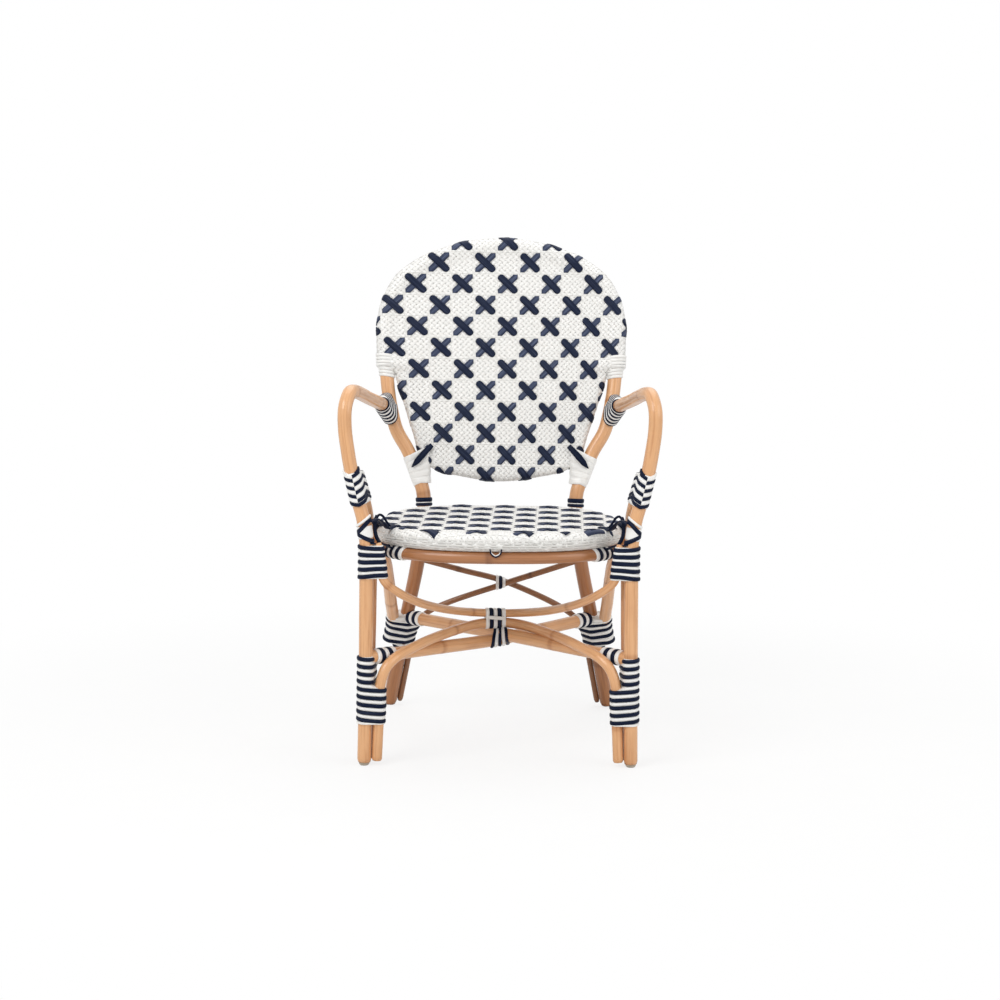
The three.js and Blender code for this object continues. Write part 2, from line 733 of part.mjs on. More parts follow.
function rearRodRoute(side, lap) {
  const reach = POST_RADIUS + ROD_RADIUS + CLEARANCE;
  const beside = (height) => {
    const on = postAt(height);
    return new THREE.Vector3(side * (on.x - reach), on.y + ROD_RADIUS, height);
  };
  const release = REAR_BINDING_FOOT + REAR_BINDING_HEIGHT;
  const points = [beside(0), ...ROD_LEG_SHARES.map((share) => beside(release * share))];
  const leave = beside(release);
  const middle = new THREE.Vector3(ROD_CROSSING_OFFSET, leave.y - POST_RADIUS, ROD_CROSSING_HEIGHT);
  const rise = middle.z - release;
  points.push(leave.clone().setX(leave.x - side * reach));
  points.push(middle.clone().setY(middle.y + lap));
  const end = postAt(middle.z + rise * ROD_TOP_SHARE);
  end.setX(-side * end.x);
  points.push(middle.clone().lerp(end, 0.5).setY(mix(middle.y + lap, end.y, 0.5)));
  points.push(end);
  return points;
}

function frontRailRoute() {
  const plan = seatPlan(rimRadius);
  const row = [...plan.slice(-4), ...plan.slice(0, 5)];
  return row.map((at) => new THREE.Vector3(at.x, at.y, frontRailHeight));
}

function rearRailRoute() {
  const plan = seatPlan(rimRadius);
  const back = plan.slice(10, 13).map((at) => new THREE.Vector3(at.x, at.y, railHeight));
  const post = (side) => new THREE.Vector3(side * postHalf, POST_DEPTH, railHeight);
  return [post(1), ...back, post(-1)];
}

// The inner hoop of the back panel, close inside the arch and across above the seat.
const PANEL_SHARES = [
  // out from the middle to the widest, up from the lowest bar to the crown
  [0, 0],
  [0.4, 0.025],
  [0.6, 0.05],
  [0.7, 0.09],
  [0.78, 0.2],
  [0.88, 0.35],
  [0.955, 0.47],
  [1, 0.67],
  [0.985, 0.78],
  [0.925, 0.86],
  [0.84, 0.91],
  [0.65, 0.955],
  [0.42, 0.985],
];

function backHoopRoute() {
  const inset = POST_RADIUS + BACK_HOOP_RADIUS + CLEARANCE;
  const half = backHalf - inset;
  const low = SEAT_HEIGHT + PANEL_FOOT;
  const high = backHeight - inset;
  const place = ([out, up], side) => onPanel(side * half * out, mix(low, high, up));
  const right = PANEL_SHARES.map((share) => place(share, 1));
  const left = PANEL_SHARES.slice(1).map((share) => place(share, -1));
  return [...right, place([0, 1], 1), ...left.reverse()];
}

// All the poles.
const sides = [
  { name: "left", side: -1 },
  { name: "right", side: 1 },
];
const arch = new Pole(archRoute(), POST_RADIUS);
const legs = sides.map(({ side }) => new Pole(legArmRoute(side), LEG_RADIUS));
const rails = sides.map(({ side }) => new Pole(sideRailRoute(side), RAIL_RADIUS));
const braces = sides.map(({ side }, i) => new Pole(sideBraceRoute(side, legs[i], arch), BRACE_RADIUS));
const lowerArch = new Pole(lowerArchRoute(), LOWER_ARCH_RADIUS, THIN_SIDES);
const upperArch = new Pole(upperArchRoute(legs[1]), UPPER_ARCH_RADIUS, THIN_SIDES);
const stretchers = [
  new Pole(stretcherRoute(-1, -STRETCHER_LAP), STRETCHER_RADIUS),
  new Pole(stretcherRoute(1, STRETCHER_LAP), STRETCHER_RADIUS),
];
const rodLap = ROD_RADIUS + CLEARANCE / 2;
const rods = [
  new Pole(rearRodRoute(-1, -rodLap), ROD_RADIUS, THIN_SIDES),
  new Pole(rearRodRoute(1, rodLap), ROD_RADIUS, THIN_SIDES),
];
const frontRail = new Pole(frontRailRoute(), FRONT_RAIL_RADIUS);
const rearRail = new Pole(rearRailRoute(), RAIL_RADIUS);
const seatHoop = new Hoop(seatHoopPoints, SEAT_HOOP_RADIUS);
const backHoop = new Hoop(backHoopRoute(), BACK_HOOP_RADIUS);
const posts = sides.map(({ side }) => new Pole(postSide(side), POST_RADIUS));
const CORNER_SHARE = 0.45; // where along the seat's front corner the leg is lashed to it
const CROSSING_SLANT_SHARE = 1.3;
const SLAT_SHARE = 0.36;
const slats = sides.map(({ side }) => {
  const x = (side * SEAT_WIDTH * SLAT_SHARE) / 2;
  const height = SEAT_HEIGHT - SEAT_WEB - CLEARANCE - SLAT_RADIUS;
  const from = new THREE.Vector3(x, seatFront + rimRadius, height);
  const to = new THREE.Vector3(x, seatFront + SEAT_DEPTH - rimRadius, height);
  return new Pole([from, from.clone().lerp(to, 0.5), to], SLAT_RADIUS, THIN_SIDES);
});

const grownOf = (...poles) => poles.flat().map((pole) => pole.grown());

// The woven seat: a flat web inside a rim that wraps the hoop, open along its underside.
function planShape(points) {
  const curve = new THREE.CatmullRomCurve3(points, true, "centripetal");
  const shape = new THREE.Shape();
  curve.getSpacedPoints(HOOP_STEPS).forEach((point, i) => {
    if (i === 0) shape.moveTo(point.x, point.y);
    else if (i < HOOP_STEPS) shape.lineTo(point.x, point.y);
  });
  shape.closePath();
  return shape;
}

function slabOf(points, depth) {
  return new THREE.ExtrudeGeometry(planShape(points), { depth, bevelEnabled: false });
}

function seatRing(radius) {
  return solidFrom(new THREE.TubeGeometry(seatHoop.curve, HOOP_STEPS, radius, PANEL_SIDES, true));
}

function seatWeaveSolid(extra = 0) {
  const web = slabOf(seatHoopPoints.map((point) => point.clone().setZ(0)), SEAT_WEB + extra * 2);
  web.translate(0, 0, SEAT_HEIGHT - SEAT_WEB - extra);
  return solidFrom(web).add(seatRing(rimRadius + extra));
}

function seatRibs() {
  const plan = seatPlan(STRAND_MARGIN).map((at) => new THREE.Vector3(at.x, at.y, 0));
  const slab = slabOf(plan, SEAT_WEB + STRAND_RISE).translate(0, 0, SEAT_HEIGHT - SEAT_WEB);
  const middle = new THREE.Vector2(0, SEAT_CROSS_DEPTH);
  return crossRibs(solidFrom(slab), middle, SEAT_CELL_WIDTH, SEAT_CELL_DEPTH, SEAT_ROW_SHIFT);
}

function rimOpening() {
  const ring = (grow) => {
    const plan = seatPlan(rimRadius + grow).map((at) => new THREE.Vector3(at.x, at.y, 0));
    return slabOf(plan, rimRadius * 2);
  };
  const outer = solidFrom(ring(-RIM_OPENING / 2).translate(0, 0, hoopHeight - rimRadius * 2));
  const inner = solidFrom(ring(RIM_OPENING / 2).translate(0, 0, hoopHeight - rimRadius * 2));
  return outer.subtract(inner);
}

// The navy strands run on slantwise from square to square, so they are long ribs both ways.
// The pattern has a cross at the place given, and the slab gives the ribs' outline and thickness.
function crossRibs(slab, place, cellWidth, cellDepth, rowShift) {
  const { min, max } = slab.boundingBox();
  const reach = Math.hypot(max[0] - min[0], max[1] - min[1]) * 2;
  const thick = max[2] - min[2];
  const slants = [-cellWidth, cellWidth].map((step) => Math.atan2(cellDepth, step + rowShift));
  const ribs = [];
  for (let i = -RIBS_A_SIDE; i <= RIBS_A_SIDE; i++)
    for (const turn of slants) {
      const rib = new THREE.BoxGeometry(reach, STRAND_WIDTH, thick).rotateZ(turn);
      const x = place.x + i * cellWidth * 2;
      ribs.push(solidFrom(rib.translate(x, place.y, (min[2] + max[2]) / 2)));
    }
  return ribs.reduce((whole, rib) => whole.add(rib)).intersect(slab);
}

const RIBS_A_SIDE = 6;
const HOOP_MIDDLE_SHARE = 0.53; // height of the back hoop's middle between seat and crown

// The woven back: a web inside the hoop, and a rim wrapped round the hoop and the arch above the arms.
const PANEL_RIM_SHARE = 0.53; // height between seat and crown where the rim takes in the arch
const ARCH_STATIONS = 14;
const panelNormal = new THREE.Vector3(0, -1, RECLINE_SHARE).normalize();
const panelUp = new THREE.Vector3(0, RECLINE_SHARE, 1).normalize();

function backWebSolid() {
  const base = onPanel(0, SEAT_HEIGHT);
  const flattened = (point) => new THREE.Vector3(point.x, point.clone().sub(base).dot(panelUp), 0);
  const slab = (points, thick) => solidFrom(slabOf(points, thick).translate(0, 0, -thick / 2));
  const outer = backHoop.curve.points.map(flattened);
  const middle = flattened(onPanel(0, mix(SEAT_HEIGHT, backHeight, HOOP_MIDDLE_SHARE)));
  const inner = outer.map((point) => middle.clone().lerp(point, BACK_STRAND_SHARE));
  const cross = flattened(onPanel(-BACK_CROSS_OFFSET, backHeight - BACK_CROSS_DROP));
  const ribs = crossRibs(slab(inner, BACK_WEB + STRAND_RISE * 2), cross, BACK_CELL, BACK_CELL, 0);
  const place = new THREE.Matrix4().makeBasis(outward, panelUp, panelNormal).setPosition(base);
  return slab(outer, BACK_WEB).add(ribs).transform(place.toArray());
}

function backRimSolid() {
  const height = mix(SEAT_HEIGHT, backHeight, PANEL_RIM_SHARE);
  const start = shareAtHeight(arch, height);
  const rings = [];
  for (let i = 0; i <= ARCH_STATIONS; i++) {
    const frame = frameAt(arch, mix(start, 1 - start, i / ARCH_STATIONS), panelNormal);
    rings.push(outlineRound(frame, [arch, backHoop], WEAVE_WALL, PANEL_SIDES));
  }
  const ring = new THREE.TubeGeometry(
    backHoop.curve,
    HOOP_STEPS,
    BACK_HOOP_RADIUS + WEAVE_WALL,
    THIN_SIDES,
    true,
  );
  return loft(rings).add(solidFrom(ring));
}

function shareAtHeight(pole, height) {
  for (let i = 0; i <= SEARCH_STEPS; i++) {
    const share = i / SEARCH_STEPS;
    if (pole.curve.getPoint(share).z >= height) return share;
  }
  return 1;
}

// A stretch of a front leg's binding: the poles it holds, and its outline at both ends.
function bindingZone(leg, side, poles, from, to) {
  const frames = [from, to].map((height) => {
    const frame = frameOn(leg, "z", height, outward.clone().multiplyScalar(side));
    frame.across.multiplyScalar(side);
    return frame;
  });
  const ringAt = (share, wall) => {
    const [low, high] = frames.map((frame) => outlineRound(frame, poles, wall, OUTLINE_SIDES));
    return low.map((point, i) => point.clone().lerp(high[i], share));
  };
  return { from, to, ringAt };
}

// One solid through the zones: each but the lowest reaches a little into the next.
function zonesBlank(zones) {
  const wall = BINDING_WALL + CLEARANCE;
  const blanks = zones.map((zone, i) => {
    const lap = i + 1 < zones.length ? ZONE_LAP / (zone.to - zone.from) : 0;
    return loft([zone.ringAt(-lap, wall), zone.ringAt(1, wall)]);
  });
  return blanks.reduce((whole, blank) => whole.add(blank));
}

// A strip changes from one zone to the next on the leg's outer side, where both outlines agree,
// so the zones meet at the height of the turn that comes nearest to the one wanted.
function changeOver(top, wanted, pitch) {
  const turn = Math.round((top - wanted) / pitch - STRIP_LEAD_SHARE);
  return { until: turn * OUTLINE_SIDES, height: top - (turn + STRIP_LEAD_SHARE) * pitch };
}

const STRIP_LEAD_SHARE = 0.4; // the spiral starts this share of a turn before the leg's outer side
const DODGE_TURN_SHARE = 0.7;

function upperBinding(i) {
  const top = upperBindingFoot + UPPER_BINDING_HEIGHT;
  const pair = [legs[i], upperArch];
  const zones = [{ until: Infinity, ...bindingZone(legs[i], sides[i].side, pair, upperBindingFoot, top) }];
  const strip = winding({
    zones,
    top: top - UPPER_STRIP_WIDTH / 2,
    turns: (UPPER_BINDING_HEIGHT - UPPER_STRIP_WIDTH) / UPPER_STRIP_PITCH,
    lead: STRIP_LEAD_SHARE,
    pitch: UPPER_STRIP_PITCH,
    width: UPPER_STRIP_WIDTH,
  });
  return { blank: zonesBlank(zones), strip };
}

function lowerBinding(i) {
  const { side } = sides[i];
  const top = LOWER_BINDING_FOOT + LOWER_BINDING_HEIGHT;
  const start = top - LOWER_STRIP_WIDTH / 2;
  const wanted = LOWER_BINDING_FOOT + ARCH_BINDING_HEIGHT;
  const change = changeOver(start - STRETCHER_DODGE, wanted, LOWER_STRIP_PITCH);
  const pair = [legs[i], rails[i]];
  const all = [...pair, lowerArch];
  const zones = [
    { until: change.until, ...bindingZone(legs[i], side, pair, change.height, top) },
    { until: Infinity, ...bindingZone(legs[i], side, all, LOWER_BINDING_FOOT, change.height) },
  ];
  const run = LOWER_BINDING_HEIGHT - LOWER_STRIP_WIDTH - LOWER_STRIP_MARGIN - STRETCHER_DODGE;
  const strip = winding({
    zones,
    top: start,
    turns: run / LOWER_STRIP_PITCH,
    lead: STRIP_LEAD_SHARE,
    pitch: LOWER_STRIP_PITCH,
    width: LOWER_STRIP_WIDTH,
    dodge: STRETCHER_DODGE,
  });
  return { blank: zonesBlank(zones), strip };
}

// A collar round one pole, between two places along an axis.
function collar(pole, axis, from, to, reference, others, guide = pole) {
  const blank = bindingBlank({ guide, axis, from, to, poles: [pole], reference, stations: 2 });
  return cutBy(blank, [pole.grown(), ...others]);
}

const TIE_SHARES = [
  // across from the loop's middle, down from the rim to the loop's foot
  [-1, 0],
  [-0.8, 0.6],
  [0, 1],
  [0.8, 0.6],
  [1, 0],
];

// A straight guide through a place, for bindings that lie along no single pole.
function guideAlong(place, way, reach) {
  const half = way.clone().multiplyScalar(reach);
  return new Pole([place.clone().sub(half), place.clone(), place.clone().add(half)], reach, THIN_SIDES);
}

// A thicker stand-in for a pole, for a binding that crosses it at a slant.
function thickened(pole, share) {
  return { curve: pole.curve, radius: pole.radius * share };
}

// A foot glide: a low dome with a flat base, pinned under a pole.
function glideGeometry() {
  const profile = [
    new THREE.Vector2(0, 0),
    new THREE.Vector2(GLIDE_FLAT_RADIUS, 0),
    new THREE.Vector2(GLIDE_RADIUS, GLIDE_HEIGHT / 2),
    new THREE.Vector2(GLIDE_RADIUS, GLIDE_HEIGHT),
    new THREE.Vector2(0, GLIDE_HEIGHT),
  ];
  return new THREE.LatheGeometry(profile, OUTLINE_SIDES).rotateX(Math.PI / 2);
}

const rattan = new THREE.MeshStandardMaterial({ color: 0xd6a06c, roughness: 0.35, metalness: 0 });
const shadedRattan = new THREE.MeshStandardMaterial({ color: 0xa86c3c, roughness: 0.4, metalness: 0 });
const whiteStrip = new THREE.MeshStandardMaterial({ color: 0xecebe6, roughness: 0.4, metalness: 0 });
const navyStrip = new THREE.MeshStandardMaterial({ color: 0x1a2442, roughness: 0.35, metalness: 0 });
const glidePlastic = new THREE.MeshStandardMaterial({ color: 0xb9b2a6, roughness: 0.5, metalness: 0 });

const chair = new THREE.Group();

function addPiece(name, solid, material) {
  const mesh = new THREE.Mesh(geometryFrom(solid), material);
  mesh.name = name;
  chair.add(mesh);
  return mesh;
}

function addPoles() {
  const archGrown = arch.grown();
  const longFoot = under(poleFoot);
  const shortFoot = under(SHORT_POLE_GAP);
  addPiece("back_arch_frame", cutBy(arch.solid(), [longFoot]), rattan);
  sides.forEach(({ name }, i) => {
    addPiece("front_leg_arm_" + name, cutBy(legs[i].solid(), [archGrown, longFoot]), rattan);
    const railCuts = [archGrown, shortFoot, ...grownOf(legs[i], braces[i])];
    addPiece("side_rail_" + name, cutBy(rails[i].solid(), railCuts), rattan);
    addPiece("side_brace_" + name, cutBy(braces[i].solid(), grownOf(legs[i], arch)), rattan);
  });
  addPiece("front_lower_arch", cutBy(lowerArch.solid(), [shortFoot, ...grownOf(legs, rails)]), rattan);
  addPiece("front_upper_arch", cutBy(upperArch.solid(), grownOf(legs, rails, braces, lowerArch)), rattan);
  const stretcherCuts = grownOf(legs, rails, arch, braces, lowerArch);
  addPiece("cross_stretcher_a", cutBy(stretchers[0].solid(), stretcherCuts), rattan);
  const secondCuts = [...stretcherCuts, stretchers[0].grown()];
  addPiece("cross_stretcher_b", cutBy(stretchers[1].solid(), secondCuts), rattan);
  const rodCuts = [shortFoot, ...grownOf(arch, braces, stretchers)];
  addPiece("rear_rod_a", cutBy(rods[0].solid(), rodCuts), shadedRattan);
  addPiece("rear_rod_b", cutBy(rods[1].solid(), [...rodCuts, rods[0].grown()]), shadedRattan);
  addPiece("front_rail", cutBy(frontRail.solid(), grownOf(legs, rails, braces)), rattan);
  addPiece("rear_rail", cutBy(rearRail.solid(), grownOf(arch, rails, rods)), shadedRattan);
}

function addPanels() {
  const around = grownOf(legs, braces, arch);
  addPiece("seat_hoop", cutBy(seatHoop.solid(), around), shadedRattan);
  sides.forEach(({ name }, i) => {
    addPiece("seat_slat_" + name, cutBy(slats[i].solid(), grownOf(seatHoop)), shadedRattan);
  });
  const seatCuts = [seatHoop.grown(), rimOpening(), ...grownOf(slats), ...around];
  addPiece("seat_weave", cutBy(seatWeaveSolid().add(seatRibs()), seatCuts), whiteStrip);
  addPiece("back_hoop", cutBy(backHoop.solid(), grownOf(arch)), shadedRattan);
  const weave = backRimSolid().add(backWebSolid());
  addPiece("back_weave", cutBy(weave, grownOf(arch, backHoop)), whiteStrip);
}

function addGlides() {
  const feet = [
    { name: "front", x: legHalf + FOOT_SPLAY, y: 0 },
    { name: "rear", x: rearFootHalf, y: REAR_FOOT_DEPTH },
  ];
  for (const foot of feet)
    for (const { name, side } of sides) {
      const mesh = new THREE.Mesh(glideGeometry(), glidePlastic);
      mesh.name = "foot_glide_" + foot.name + "_" + name;
      mesh.position.set(side * foot.x, foot.y, 0);
      chair.add(mesh);
    }
}

function addLegBindings() {
  const seat = seatWeaveSolid(CLEARANCE);
  const around = [seat, frontRail.grown(), ...grownOf(braces, stretchers)];
  sides.forEach(({ name }, i) => {
    const upper = upperBinding(i);
    const lower = lowerBinding(i);
    const cuts = [...grownOf(legs[i], rails[i], lowerArch, upperArch), ...around];
    addPiece("front_leg_binding_upper_" + name, cutBy(upper.blank, cuts), whiteStrip);
    addPiece("front_leg_winding_upper_" + name, upper.strip.solid, navyStrip);
    addPiece("front_leg_binding_lower_" + name, cutBy(lower.blank, cuts), whiteStrip);
    addPiece("front_leg_winding_lower_" + name, lower.strip.solid, navyStrip);
    console.log("least gap in the upper winding, mm:", name, upper.strip.gap.toFixed(2));
    console.log("least gap in the lower winding, mm:", name, lower.strip.gap.toFixed(2));
    const stretcher = stretchers[i];
    const from = legHalf - LEG_RADIUS;
    const frontCollar = collar(
      stretcher,
      "x",
      sides[i].side * from,
      sides[i].side * (from - COLLAR_LENGTH),
      up,
      [...grownOf(legs[i], rails[i], lowerArch), lower.blank, lower.strip.solid],
    );
    addPiece("stretcher_collar_front_" + name, frontCollar, navyStrip);
  });
}

function addRearBindings() {
  sides.forEach(({ name, side }, i) => {
    const blank = bindingBlank({
      guide: posts[i],
      axis: "z",
      from: REAR_BINDING_FOOT,
      to: REAR_BINDING_FOOT + REAR_BINDING_HEIGHT,
      poles: [arch, braces[i], rods[i]],
      reference: outward.clone().multiplyScalar(side),
      stations: 2,
    });
    const poles = grownOf(arch, braces[i], rods[i]);
    addPiece("rear_leg_binding_" + name, cutBy(blank, [...poles, ...grownOf(stretchers)]), navyStrip);
    const other = stretchers[1 - i];
    const from = postAt(STRETCHER_HEIGHT - STRETCHER_FALL).x;
    const rearCollar = collar(
      other,
      "x",
      side * from,
      side * (from - COLLAR_LENGTH),
      up,
      [...poles, blank],
    );
    addPiece("stretcher_collar_rear_" + name, rearCollar, navyStrip);
  });
}

function addUpperBindings() {
  const seat = seatWeaveSolid(CLEARANCE);
  const rimHeight = mix(SEAT_HEIGHT, backHeight, PANEL_RIM_SHARE);
  sides.forEach(({ name, side }, i) => {
    const facing = outward.clone().multiplyScalar(side);
    const upright = bindingBlank({
      guide: legs[i],
      axis: "z",
      from: armBindingFoot,
      to: armBindingFoot + ARM_BINDING_HEIGHT,
      poles: [legs[i], braces[i]],
      reference: facing,
    });
    addPiece("arm_binding_" + name, binding(upright, [legs[i], braces[i]]), whiteStrip);
    const armFrom = armEnd.y - POST_RADIUS - ARM_COLLAR_LENGTH;
    const armTo = armEnd.y - LEG_RADIUS / 2;
    const armCollar = collar(legs[i], "y", armFrom, armTo, up, [arch.grown()]);
    addPiece("arm_end_binding_" + name, armCollar, whiteStrip);
    const postCuts = [...grownOf(backHoop, legs[i]), seat];
    const along = (from, height) => collar(arch, "z", from, from + height, facing, postCuts, posts[i]);
    addPiece("post_binding_" + name, along(SEAT_HEIGHT + POST_COLLAR_RISE, POST_COLLAR_HEIGHT), whiteStrip);
    addPiece("post_base_binding_" + name, along(SEAT_HEIGHT, POST_BASE_HEIGHT), navyStrip);
    const cuffFoot = rimHeight - POST_CUFF_HEIGHT - CLEARANCE;
    addPiece("post_cuff_" + name, along(cuffFoot, POST_CUFF_HEIGHT), whiteStrip);
  });
}

function addCentreBindings() {
  const archBlank = (wall) =>
    bindingBlank({
      guide: lowerArch,
      axis: "x",
      from: -CENTRE_BINDING_LEFT,
      to: CENTRE_BINDING_RIGHT,
      poles: [lowerArch, upperArch],
      reference: up,
      wall,
    });
  const archCuts = grownOf(stretchers);
  const archBinding = binding(archBlank(BINDING_WALL), [lowerArch, upperArch], archCuts);
  addPiece("centre_arch_binding", archBinding, navyStrip);
  const centre = new THREE.Vector3(0, CROSSING_DEPTH, CROSSING_HEIGHT);
  const crossBlank = bindingBlank({
    guide: guideAlong(centre, outward, CROSS_BINDING_HALF * 2),
    axis: "x",
    from: -CROSS_BINDING_HALF,
    to: CROSS_BINDING_HALF,
    poles: stretchers.map((pole) => thickened(pole, CROSSING_SLANT_SHARE)),
    reference: up,
    wall: BINDING_WALL / 2,
  });
  const crossCuts = [lowerArch.grown(), archBlank(BINDING_WALL + CLEARANCE)];
  addPiece("centre_cross_binding", binding(crossBlank, stretchers, crossCuts), navyStrip);
  const rodPlace = rods[0].points.at(-3).clone();
  rodPlace.setX(rodPlace.x - ROD_BINDING_OFFSET);
  const rodBlank = bindingBlank({
    guide: guideAlong(rodPlace, outward, ROD_BINDING_HALF * 2),
    axis: "x",
    from: rodPlace.x - ROD_BINDING_HALF,
    to: rodPlace.x + ROD_BINDING_HALF,
    poles: rods,
    reference: up,
    stations: 2,
  });
  addPiece("rear_rod_binding", binding(rodBlank, rods), whiteStrip);
}

function addSeatBindings() {
  const seat = seatWeaveSolid(CLEARANCE);
  const plan = seatPlan(0);
  sides.forEach(({ name, side }, i) => {
    const facing = outward.clone().multiplyScalar(side);
    const railPoints = frontRailRoute();
    const from = Math.abs(railPoints.at(-1).x) - RAIL_RADIUS;
    const railCollar = collar(
      frontRail,
      "x",
      side * from,
      side * (from - RAIL_COLLAR_LENGTH),
      up,
      [seat, ...grownOf(rails[i], legs[i], braces[i], upperArch), upperBinding(i).blank],
    );
    addPiece("front_rail_binding_" + name, railCollar, navyStrip);
    const corner = plan[3].clone().lerp(plan[4], CORNER_SHARE);
    const low = SEAT_HEIGHT - LASHING_HEIGHT / 2;
    const cornerPost = guideAlong(new THREE.Vector3(side * corner.x, corner.y, low), up, LASHING_HEIGHT * 2);
    const cornerBlank = bindingBlank({
      guide: legs[i],
      axis: "z",
      from: upperBindingFoot + UPPER_BINDING_HEIGHT + CLEARANCE,
      to: SEAT_HEIGHT + LASHING_RADIUS,
      poles: [legs[i], { curve: cornerPost.curve, radius: LASHING_RADIUS }],
      reference: facing,
      stations: 2,
    });
    const cornerCuts = [seat, ...grownOf(legs[i], rails[i], braces[i], upperArch)];
    addPiece("seat_corner_lashing_" + name, cutBy(cornerBlank, cornerCuts), navyStrip);
    addPiece("brace_lashing_" + name, braceLashing(i, seat), navyStrip);
  });
  addPiece("seat_front_tie", cutBy(frontTie().solid(), [seat, frontRail.grown()]), navyStrip);
}

// Where a brace passes the seat's side it is tied to the rim.
function braceLashing(i, seat) {
  const { side } = sides[i];
  const beside = seatWidest();
  const place = new THREE.Vector3(side * (beside.x - rimRadius / 2), beside.y, SEAT_HEIGHT);
  const post = guideAlong(place, up, LASHING_HEIGHT * 2);
  const blank = bindingBlank({
    guide: post,
    axis: "z",
    from: hoopHeight,
    to: SEAT_HEIGHT + LASHING_RADIUS,
    poles: [braces[i], { curve: post.curve, radius: LASHING_RADIUS }],
    reference: outward.clone().multiplyScalar(side),
    stations: 2,
  });
  return cutBy(blank, [seat, ...grownOf(braces[i], rails[i])]);
}

// A loop of strip hanging from the seat's rim, in front of the rail.
function frontTie() {
  const y = seatFront + rimRadius - FRONT_RAIL_RADIUS - CLEARANCE - TIE_RADIUS;
  const top = hoopHeight - SEAT_HOOP_RADIUS / 2;
  const low = rimFoot - TIE_DROP;
  const points = TIE_SHARES.map(
    ([across, drop]) => new THREE.Vector3(-TIE_OFFSET + (across * TIE_WIDTH) / 2, y, mix(top, low, drop)),
  );
  return new Pole(points, TIE_RADIUS, THIN_SIDES);
}

addPoles();
addPanels();
addGlides();
addLegBindings();
addRearBindings();
addUpperBindings();
addCentreBindings();
addSeatBindings();

const box = new THREE.Box3().setFromObject(chair);
const middle = box.getCenter(new THREE.Vector3());
chair.position.set(-middle.x, -middle.y, -box.min.z);

export default chair;
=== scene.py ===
"""A rattan bistro armchair: lacquered poles, plaited seat and back, and strips wound round the joints."""

import math

import bmesh
import bpy
import numpy as np
from bpy.props import FloatProperty, FloatVectorProperty, PointerProperty
from bpy.types import Operator, Panel, PropertyGroup
from mathutils import Euler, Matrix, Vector


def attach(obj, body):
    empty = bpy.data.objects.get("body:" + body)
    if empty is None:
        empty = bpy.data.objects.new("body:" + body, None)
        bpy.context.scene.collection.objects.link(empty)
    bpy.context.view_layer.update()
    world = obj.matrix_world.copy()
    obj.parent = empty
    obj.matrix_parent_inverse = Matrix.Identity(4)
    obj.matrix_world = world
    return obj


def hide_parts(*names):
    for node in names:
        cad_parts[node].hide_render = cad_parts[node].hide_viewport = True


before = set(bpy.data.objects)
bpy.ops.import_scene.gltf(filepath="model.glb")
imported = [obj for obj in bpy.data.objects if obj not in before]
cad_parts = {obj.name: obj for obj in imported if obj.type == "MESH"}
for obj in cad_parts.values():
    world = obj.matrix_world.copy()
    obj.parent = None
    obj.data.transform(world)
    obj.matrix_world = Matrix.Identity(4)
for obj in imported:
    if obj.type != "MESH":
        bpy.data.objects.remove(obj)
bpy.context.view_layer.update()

bl_info = {
    "name": "Rattan Bistro Armchair",
    "version": (1, 0, 0),
    "blender": (4, 5, 0),
    "location": "3D View > Sidebar > Chair",
    "description": "Builds a rattan armchair with a woven seat and back round its packed frame",
    "category": "Object",
}

MM = 0.001  # routes and sizes are in millimetres, Blender's objects in metres
BODY = "root"
SIDES = (("left", -1), ("right", 1))
X, Y, Z = range(3)
FRONT = (0.0, -1.0, 0.0)
UP = (0.0, 0.0, 1.0)

# The seat's outline from above: half of its hoop, from the front round the right side to the back.
SEAT_PLAN = (
    (0, -281.3), (92.4, -271.5), (145.2, -250.6), (184.8, -219.9), (210.1, -185.2), (220, -134),
    (217.8, -76.8), (207.9, -15.4), (185.9, 58.2), (151.8, 105.2), (101.2, 123.6), (0, 127.7),
)
SEAT_LEVEL = 423
FRONT_RAIL_LEVEL = 394.2
RAIL_LEVEL = 394.7
RAIL_END = (154, 162.7, RAIL_LEVEL)


def at_level(plan, level):
    return [(x, y, level) for x, y in plan]


